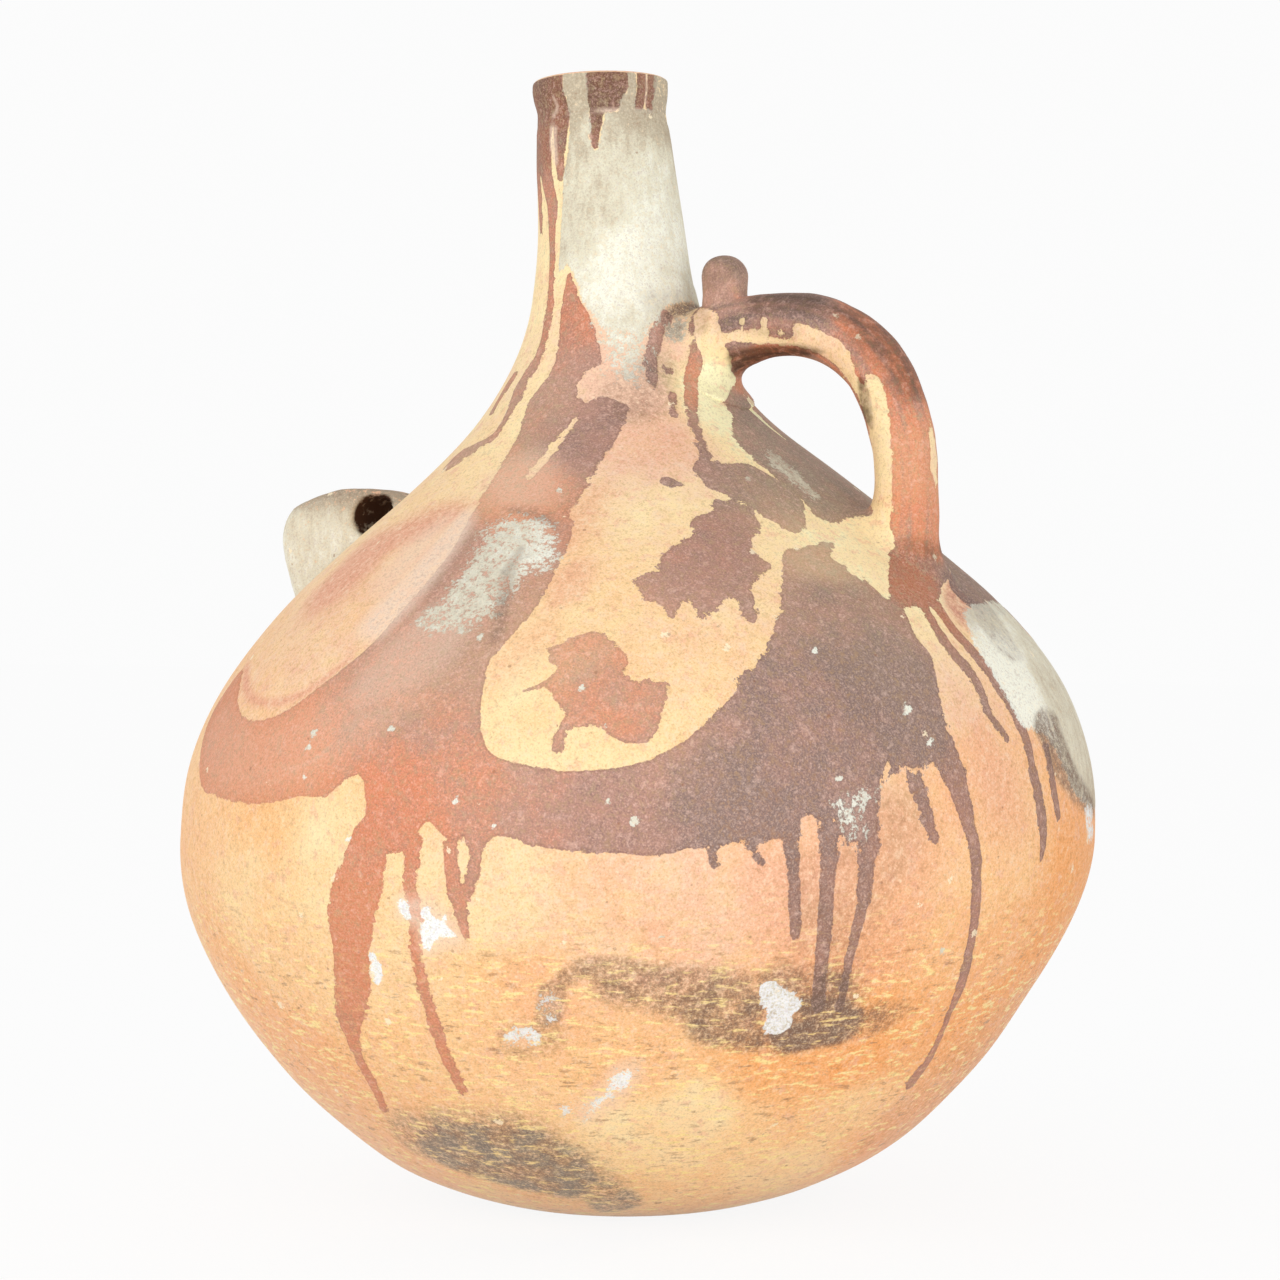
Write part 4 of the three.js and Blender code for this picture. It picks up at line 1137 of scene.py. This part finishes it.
PEACH = srgb(241, 196, 168)
YELLOW = srgb(255, 230, 176)
CREAM = srgb(255, 250, 204)
STRAW = srgb(255, 230, 156)
ORANGE = srgb(248, 168, 94)
HAZE = srgb(244, 218, 196)
PINK = srgb(238, 178, 148)
RED_SLIP = srgb(221, 135, 97)
BROWN_SLIP = srgb(180, 135, 120)
PLUM_SLIP = srgb(136, 114, 108)
SLIP_RIM = srgb(120, 84, 70)
SLIP_GRAIN = srgb(98, 66, 56)
SLIP_BLOOM = srgb(242, 208, 190)
RED_WASH = srgb(228, 154, 128)
LIME = srgb(223, 220, 199)
LIME_WHITE = srgb(248, 250, 236)
LIME_GREY = srgb(184, 173, 152)
CHIP_AND_HIGHLIGHT_WHITE = srgb(242, 245, 252)
SMOKE_AND_SHADOW = srgb(116, 94, 82)
SMOKE_GREY = srgb(116, 112, 106)
GRIT = srgb(255, 238, 204)
PIT = srgb(150, 98, 66)
BURNT_AND_SHADE_BROWN = srgb(62, 36, 20)


class Finish:
    """Builds a node tree from plain calls: each returns the socket that it makes."""

    def __init__(self, name):
        self.material = bpy.data.materials.new(name)
        self.material.use_nodes = True
        self.tree = self.material.node_tree
        self.shader = self.tree.nodes["Principled BSDF"]
        self.place = self.node("ShaderNodeTexCoord").outputs["Object"]
        self.layer = {key: self.attribute(key) for key in PLAIN_FINISH}
        self.broad = self.noise(26.0, 3.0)
        self.cloud = self.noise(95.0, 4.0)
        self.mottle = self.noise(340.0, 4.0, 0.65)
        self.flecks = self.noise(850.0, 3.0, 0.7)
        self.grain = self.noise(1400.0, 2.0, 0.6)
        self.brushed = self.noise(1.0, 3.0, 0.6, self.stretched(300.0, 300.0, 90.0))
        self.streaks = self.noise(1.0, 4.0, 0.65, self.stretched(120.0, 120.0, 520.0))
        self.low = self.ease(self.layer["lay"], BELLY_SEAM + 5.0, BELLY_SEAM - 50.0)

    def node(self, kind, inputs=(), **settings):
        made = self.tree.nodes.new(kind)
        for key, value in settings.items():
            setattr(made, key, value)
        for key, value in dict(inputs).items():
            if isinstance(value, bpy.types.NodeSocket):
                self.tree.links.new(value, made.inputs[key])
            else:
                made.inputs[key].default_value = value
        return made

    def attribute(self, name):
        return self.node("ShaderNodeAttribute", attribute_name=name).outputs["Fac"]

    def math(self, operation, a, b, c=0.0, clamp=False):
        made = self.node("ShaderNodeMath", {0: a, 1: b, 2: c}, operation=operation, use_clamp=clamp)
        return made.outputs[0]

    def add(self, a, b):
        return self.math("ADD", a, b)

    def times(self, a, b):
        return self.math("MULTIPLY", a, b)

    def ease(self, value, low, high, to_low=0.0, to_high=1.0):
        ends = {"Value": value, "From Min": low, "From Max": high, "To Min": to_low, "To Max": to_high}
        return self.node("ShaderNodeMapRange", ends, interpolation_type="SMOOTHSTEP").outputs["Result"]

    def mix(self, share, a, b):
        made = self.node("ShaderNodeMix", {"Factor": share, "A": a, "B": b}, data_type="RGBA")
        return made.outputs["Result"]

    def stretched(self, x, y, z):
        return self.node("ShaderNodeMapping", {"Vector": self.place, "Scale": (x, y, z)}).outputs["Vector"]

    def noise(self, scale, detail, rough=0.55, vector=None):
        inputs = {"Vector": vector or self.place, "Scale": scale, "Detail": detail, "Roughness": rough}
        return self.node("ShaderNodeTexNoise", inputs).outputs["Fac"]

    def swing(self, noise, amount):
        """A pattern as a swing about zero."""
        return self.math("MULTIPLY_ADD", noise, amount, -amount / 2)

    def stirred(self, value, *swings):
        """A value with swings of patterns added to it."""
        for pattern, amount in swings:
            value = self.add(value, self.swing(pattern, amount))
        return value

    def specks(self, scale, size, share):
        """Scattered specks of many sizes: a share of the cells of a pattern holds one each."""
        cells = self.node("ShaderNodeTexVoronoi", {"Vector": self.place, "Scale": scale, "Randomness": 1.0})
        spread = self.node("ShaderNodeSeparateColor", {"Color": cells.outputs["Color"]})
        chosen = self.math("LESS_THAN", spread.outputs["Red"], share)
        reach = self.stirred(cells.outputs["Distance"], (self.flecks, size * 4.0))
        limit = self.math("MULTIPLY_ADD", spread.outputs["Green"], size * 1.2, size * 0.3)
        return self.times(chosen, self.math("LESS_THAN", reach, limit))


def bare_clay(f):
    """Clay that drifts from peach to yellow and orange, with thin washes of red. Its yellow also carries
    painted light under the handle's top and along the bottom edge.
    """
    sun = f.stirred(f.layer["sun"], (f.cloud, 1.2), (f.mottle, 1.6), (f.flecks, 0.8))
    warm = f.stirred(f.layer["warm"], (f.broad, 0.7), (f.mottle, 0.5))
    colour = f.mix(f.math("MULTIPLY", sun, 1.0, clamp=True), PEACH, YELLOW)
    colour = f.mix(f.ease(sun, 0.95, 1.6), colour, CREAM)
    colour = f.mix(f.math("MULTIPLY", warm, 0.85, clamp=True), colour, ORANGE)
    colour = f.mix(f.ease(f.noise(160.0, 4.0, 0.65), 0.55, 0.66, 0.0, 0.45), colour, PINK)
    wash = f.ease(f.stirred(f.mottle, (f.cloud, 0.6)), 0.3, 0.6, 0.55, 1.1)
    return f.mix(f.times(f.layer["wash"], wash), colour, RED_WASH)


def slip_edge(f):
    """The distance from the edge of the slip, frayed."""
    uneven = f.stirred(f.swing(f.noise(230.0, 3.0), 2.8), (f.mottle, 2.6), (f.flecks, 1.6))
    fray = f.times(f.layer["fray"], f.ease(f.cloud, 0.4, 0.6, 0.6, 1.4))
    return f.add(f.layer["edge"], f.times(uneven, fray))


def slip_coat(f, colour):
    """Slip with a ragged, darker edge under a pale haze, and how well the slip covers."""
    edge = slip_edge(f)
    thin = f.times(f.ease(f.flecks, 0.7, 0.5, 0.7, 1.0), f.ease(f.mottle, 0.72, 0.5, 0.75, 1.0))
    slip = f.times(f.times(f.ease(edge, 0.2, -0.2), f.layer["veil"]), thin)
    tone = f.stirred(f.layer["tone"], (f.mottle, 0.5), (f.cloud, 0.7), (f.grain, 0.6))
    shade = f.mix(f.ease(tone, 0.0, 0.6), RED_SLIP, BROWN_SLIP)
    shade = f.mix(f.ease(tone, 0.5, 1.1), shade, PLUM_SLIP)
    rim = f.times(f.ease(edge, -1.5, -0.1, 0.0, 0.4), f.ease(tone, 0.0, 0.5, 0.4, 1.0))
    shade = f.mix(rim, shade, SLIP_RIM)
    shade = f.mix(f.layer["fired"], shade, BURNT_AND_SHADE_BROWN)
    colour = f.mix(slip, colour, shade)
    haze = f.ease(f.stirred(f.mottle, (f.flecks, 0.5)), 0.3, 0.62, 0.5, 1.2)
    return f.mix(f.times(f.layer["haze"], haze), colour, HAZE), slip


def wiped(f, colour, slip):
    """Streaks wiped round the lower belly, where the clay is open."""
    open_clay = f.times(f.low, f.ease(slip, 0.0, 0.6, 1.0, 0.2))
    colour = f.mix(f.times(open_clay, f.ease(f.streaks, 0.54, 0.63, 0.0, 0.85)), colour, STRAW)
    scratched = f.times(f.ease(f.cloud, 0.46, 0.6), f.ease(f.streaks, 0.44, 0.35, 0.0, 0.6))
    return f.mix(f.times(open_clay, scratched), colour, PIT)


def flaking(f, name, low, high):
    """How well a layer covers that flakes off in small pieces."""
    cover = f.ease(f.stirred(f.layer[name], (f.cloud, 0.5), (f.mottle, 1.6), (f.flecks, 1.4)), low, high)
    return f.times(cover, f.ease(f.layer[name], 0.02, 0.2))


def lime_shade(f):
    """Lime and chalky crust, from grey to white."""
    pale = f.stirred(f.layer["pale"], (f.brushed, 0.8), (f.cloud, 0.7), (f.mottle, 1.2), (f.flecks, 1.3))
    shade = f.mix(f.ease(pale, 0.0, 0.5), LIME_GREY, LIME)
    return f.mix(f.ease(pale, 0.45, 1.0), shade, LIME_WHITE)


def smoked(f, colour):
    """Smoke in clouds, broken into streaks on the lower belly and grey by the foot."""
    soot = f.layer["soot"]
    clouds = f.stirred(f.swing(f.cloud, 0.7), (f.mottle, 1.0), (f.flecks, 1.0))
    smoke = f.add(soot, f.times(clouds, f.ease(soot, 0.2, 0.6, 0.35, 1.0)))
    gaps = f.add(f.times(f.streaks, f.low), f.times(f.flecks, f.math("SUBTRACT", 1.0, f.low)))
    smoke = f.times(f.ease(smoke, 0.05, 1.0, 0.0, 0.95), f.ease(gaps, 0.54, 0.66, 1.0, 0.2))
    smoke = f.times(smoke, f.ease(soot, 0.02, 0.3))
    ashy = f.times(f.ease(f.cloud, 0.4, 0.56), f.ease(f.layer["lay"], 130.0, 100.0))
    return f.mix(smoke, colour, f.mix(ashy, SMOKE_AND_SHADOW, SMOKE_GREY))


def grained(f, colour, slip):
    """Grain over everything, the brown of burnt places and of the underside of the handle's top, and painted
    shade inside the lug's eye.
    """
    dark_grain, light_grain = f.mix(slip, PIT, SLIP_GRAIN), f.mix(slip, GRIT, SLIP_BLOOM)
    for pattern, darker, lighter in ((f.grain, 0.24, 0.24), (f.flecks, 0.3, 0.3), (f.mottle, 0.22, 0.25)):
        colour = f.mix(f.ease(pattern, 0.52, 0.7, 0.0, darker), colour, dark_grain)
        colour = f.mix(f.ease(pattern, 0.48, 0.3, 0.0, lighter), colour, light_grain)
    darkening = f.times(f.layer["dark"], f.ease(f.stirred(f.mottle, (f.cloud, 0.8)), 0.25, 0.6, 0.6, 1.15))
    return f.mix(f.math("MINIMUM", darkening, 1.0), colour, BURNT_AND_SHADE_BROWN)


def roughness(f, slip, lime, gloss):
    """Burnished low, and matt where slip or lime lies."""
    matt = f.add(f.times(lime, 0.3), f.times(slip, 0.1))
    burnish = f.times(f.ease(f.layer["lay"], BELLY_SEAM + 20.0, BELLY_SEAM - 80.0), gloss)
    rough = f.add(f.add(f.times(f.mottle, 0.25), 0.45), f.math("SUBTRACT", matt, burnish))
    return f.math("MAXIMUM", rough, 0.2)


def fine_relief(f, slip, lime, grit, pit):
    relief = f.add(f.times(f.mottle, 0.35), f.times(f.grain, 0.2))
    relief = f.add(relief, f.times(f.times(f.low, f.streaks), 0.5))
    relief = f.add(relief, f.add(f.times(slip, 0.2), f.times(f.times(lime, f.cloud), 0.8)))
    relief = f.add(relief, f.add(f.times(grit, 0.2), f.times(pit, -0.5)))
    bump = f.node("ShaderNodeBump", {"Height": relief, "Strength": 0.5, "Distance": 0.0006})
    return bump.outputs["Normal"]


def clay_finish(name, gloss):
    """Fired clay under poured slip, smoke and lime. Gloss is how far the lower belly was burnished."""
    f = Finish(name)
    colour, slip = slip_coat(f, bare_clay(f))
    colour = wiped(f, colour, slip)
    lime, white = flaking(f, "chalk", 0.34, 0.62), lime_shade(f)
    colour = smoked(f, f.mix(f.times(lime, 0.94), colour, white))
    # chips are fresh white clay, and the painted highlights are given the same white
    chip_and_highlight_colour = f.mix(f.ease(f.flecks, 0.36, 0.7), CHIP_AND_HIGHLIGHT_WHITE, white)
    colour = f.mix(flaking(f, "chip_and_highlight", 0.42, 0.58), colour, chip_and_highlight_colour)
    grit, pit = f.specks(105.0, 0.13, 0.09), f.specks(230.0, 0.12, 0.10)
    colour = f.mix(f.times(grit, 0.8), colour, GRIT)
    colour = f.mix(f.times(pit, 0.5), colour, PIT)
    f.tree.links.new(grained(f, colour, slip), f.shader.inputs["Base Color"])
    f.shader.inputs["Specular IOR Level"].default_value = 0.22
    f.tree.links.new(roughness(f, slip, lime, gloss), f.shader.inputs["Roughness"])
    f.tree.links.new(fine_relief(f, slip, lime, grit, pit), f.shader.inputs["Normal"])
    return f.material


def dress(node, slot, material, verts, faces, finish, sharp=()):
    """Make the visible piece that stands for a node."""
    mesh = bpy.data.meshes.new(node + "_skin")
    faces = faces if isinstance(faces, list) else faces.tolist()
    mesh.from_pydata((verts * MM).tolist(), [], faces)
    mesh.polygons.foreach_set("use_smooth", np.ones(len(mesh.polygons), bool))
    for key, values in finish.items():
        layer = mesh.attributes.new(key, "FLOAT", "POINT")
        layer.data.foreach_set("value", np.ascontiguousarray(values, np.float32))
    if len(sharp):
        ends = np.zeros(len(mesh.edges) * 2, np.int32)
        mesh.edges.foreach_get("vertices", ends)
        ends = ends.reshape(-1, 2)
        on_seam = np.zeros(len(mesh.edges), bool)
        for ring in sharp:
            on_seam |= np.isin(ends, ring).all(1)
        mesh.attributes.new("sharp_edge", "BOOLEAN", "EDGE").data.foreach_set("value", on_seam)
    mesh.materials.append(material)
    mesh.validate()
    piece = bpy.data.objects.new(node + "_clay", mesh)
    bpy.context.scene.collection.objects.link(piece)
    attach(piece, "root")
    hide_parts(node)


def dress_vessel():
    body = clay_finish("fired_clay", 0.16)
    dress("base_disc", "bare_terracotta", body, *base_mesh())
    dress("lower_bowl", "bare_terracotta", body, *ring_mesh("bowl"))
    dress("shoulder", "slip_painted_terracotta", body, *ring_mesh("shoulder"))
    dress("neck", "lime_washed_terracotta", body, *ring_mesh("neck"))
    dress("rim_collar", "red_slip", body, *ring_mesh("collar"))


# Boxes in which the handle, peg and lug are meshed, and the steps of their meshes
HANDLE_BOX = (-2.0, -34.0, 232.0), (156.0, 34.0, 372.0), 1.1
PEG_BOX = (22.0, -18.0, 338.0), (58.0, 18.0, 382.0), 0.7
LUG_BOX = (-170.0, -34.0, 200.0), (-76.0, 34.0, 312.0), 1.0


def dress_additions():
    coil = clay_finish("slipped_coil", 0.0)
    verts, faces = surface_net(handle_field, *HANDLE_BOX)
    dress("handle", "red_slip", coil, verts, faces, on_root(verts, coil_finish(verts)))
    verts, faces = surface_net(peg_field, *PEG_BOX)
    dress("thumb_knob", "red_slip", coil, verts, faces, coil_finish(verts))
    pale = clay_finish("pale_lug", 0.0)
    verts, faces = surface_net(lug_field, *LUG_BOX)
    dress("rope_lug", "pale_clay", pale, verts, faces, on_root(verts, lug_finish(verts)))


def add_light(name, place, aim, size, power):
    lamp = bpy.data.lights.new(name, "AREA")
    lamp.shape = "DISK"
    lamp.size = size
    lamp.energy = power
    made = bpy.data.objects.new(name, lamp)
    made.location = place
    direction = np.array(aim) - np.array(place)
    made.rotation_euler = (math.acos(-direction[2] / np.linalg.norm(direction)), 0.0,
                           math.atan2(direction[1], direction[0]) - math.pi / 2)
    bpy.context.scene.collection.objects.link(made)


def white_for_camera(tree):
    """One for rays from the camera or off a gloss, and zero for the light that falls on the jug."""
    path = tree.nodes.new("ShaderNodeLightPath")
    seen = path.outputs["Is Camera Ray"]
    for kind in ("Is Glossy Ray", "Is Transmission Ray"):
        both = tree.nodes.new("ShaderNodeMath")
        both.operation = "MAXIMUM"
        tree.links.new(seen, both.inputs[0])
        tree.links.new(path.outputs[kind], both.inputs[1])
        seen = both.outputs[0]
    return seen


# Light that falls on the jug, and how white the sky and the floor look: 1 is white
SKY_LIGHT, SKY_WHITE, FLOOR_WHITE, FLOOR_REACH = 0.7, 0.97, 0.9, 6.0
# Lamps: name, place and aim in m, size in m and power in W
LAMPS = [("key", (-1.2, -2.0, 0.9), (0.0, 0.0, 0.2), 1.6, 13.2),
         ("fill", (2.0, -1.1, 0.45), (0.0, 0.0, 0.2), 1.4, 13.2),
         ("low", (0.7, -1.4, 0.15), (0.0, 0.0, 0.05), 0.4, 3.1)]


def make_sky():
    world = bpy.data.worlds.new("studio")
    bpy.context.scene.world = world
    world.use_nodes = True
    sky = world.node_tree.nodes["Background"]
    sky.inputs["Color"].default_value = (1.0, 1.0, 1.0, 1.0)
    level = world.node_tree.nodes.new("ShaderNodeMapRange")
    level.inputs["To Min"].default_value = SKY_LIGHT
    level.inputs["To Max"].default_value = SKY_WHITE
    world.node_tree.links.new(white_for_camera(world.node_tree), level.inputs["Value"])
    world.node_tree.links.new(level.outputs["Result"], sky.inputs["Strength"])


def floor_paper():
    """Matt paper that looks almost white and lights the jug as plain paper does."""
    paper = bpy.data.materials.new("floor_paper")
    paper.use_nodes = True
    tree = paper.node_tree
    tree.nodes.remove(tree.nodes["Principled BSDF"])
    matt = tree.nodes.new("ShaderNodeBsdfDiffuse")
    matt.inputs["Color"].default_value = (0.95, 0.95, 0.95, 1.0)
    glow = tree.nodes.new("ShaderNodeEmission")
    glow.inputs["Strength"].default_value = 1.0
    shown = tree.nodes.new("ShaderNodeMath")
    shown.operation = "MULTIPLY"
    shown.inputs[1].default_value = FLOOR_WHITE
    tree.links.new(white_for_camera(tree), shown.inputs[0])
    both = tree.nodes.new("ShaderNodeMixShader")
    tree.links.new(shown.outputs[0], both.inputs["Fac"])
    tree.links.new(matt.outputs[0], both.inputs[1])
    tree.links.new(glow.outputs[0], both.inputs[2])
    tree.links.new(both.outputs[0], tree.nodes["Material Output"].inputs["Surface"])
    return paper


def make_floor():
    floor_mesh = bpy.data.meshes.new("floor")
    corners = [(-1, -1), (1, -1), (1, 1), (-1, 1)]
    floor_mesh.from_pydata([(x * FLOOR_REACH, y * FLOOR_REACH, 0) for x, y in corners], [], [(0, 1, 2, 3)])
    floor = bpy.data.objects.new("floor", floor_mesh)
    bpy.context.scene.collection.objects.link(floor)
    floor_mesh.materials.append(floor_paper())


def make_camera():
    lens = bpy.data.cameras.new("photo_camera")
    lens.sensor_width = SENSOR
    lens.lens = FOCAL_PX * SENSOR / PICTURE
    camera = bpy.data.objects.new("photo_camera", lens)
    camera.location = EYE * MM
    camera.rotation_euler = (math.pi / 2 - PITCH, 0.0, YAW)
    bpy.context.scene.collection.objects.link(camera)
    bpy.context.scene.camera = camera


dress_vessel()
dress_additions()
make_sky()
make_floor()
for lamp in LAMPS:
    add_light(*lamp)
make_camera()
bpy.context.scene.view_settings.view_transform = "Standard"
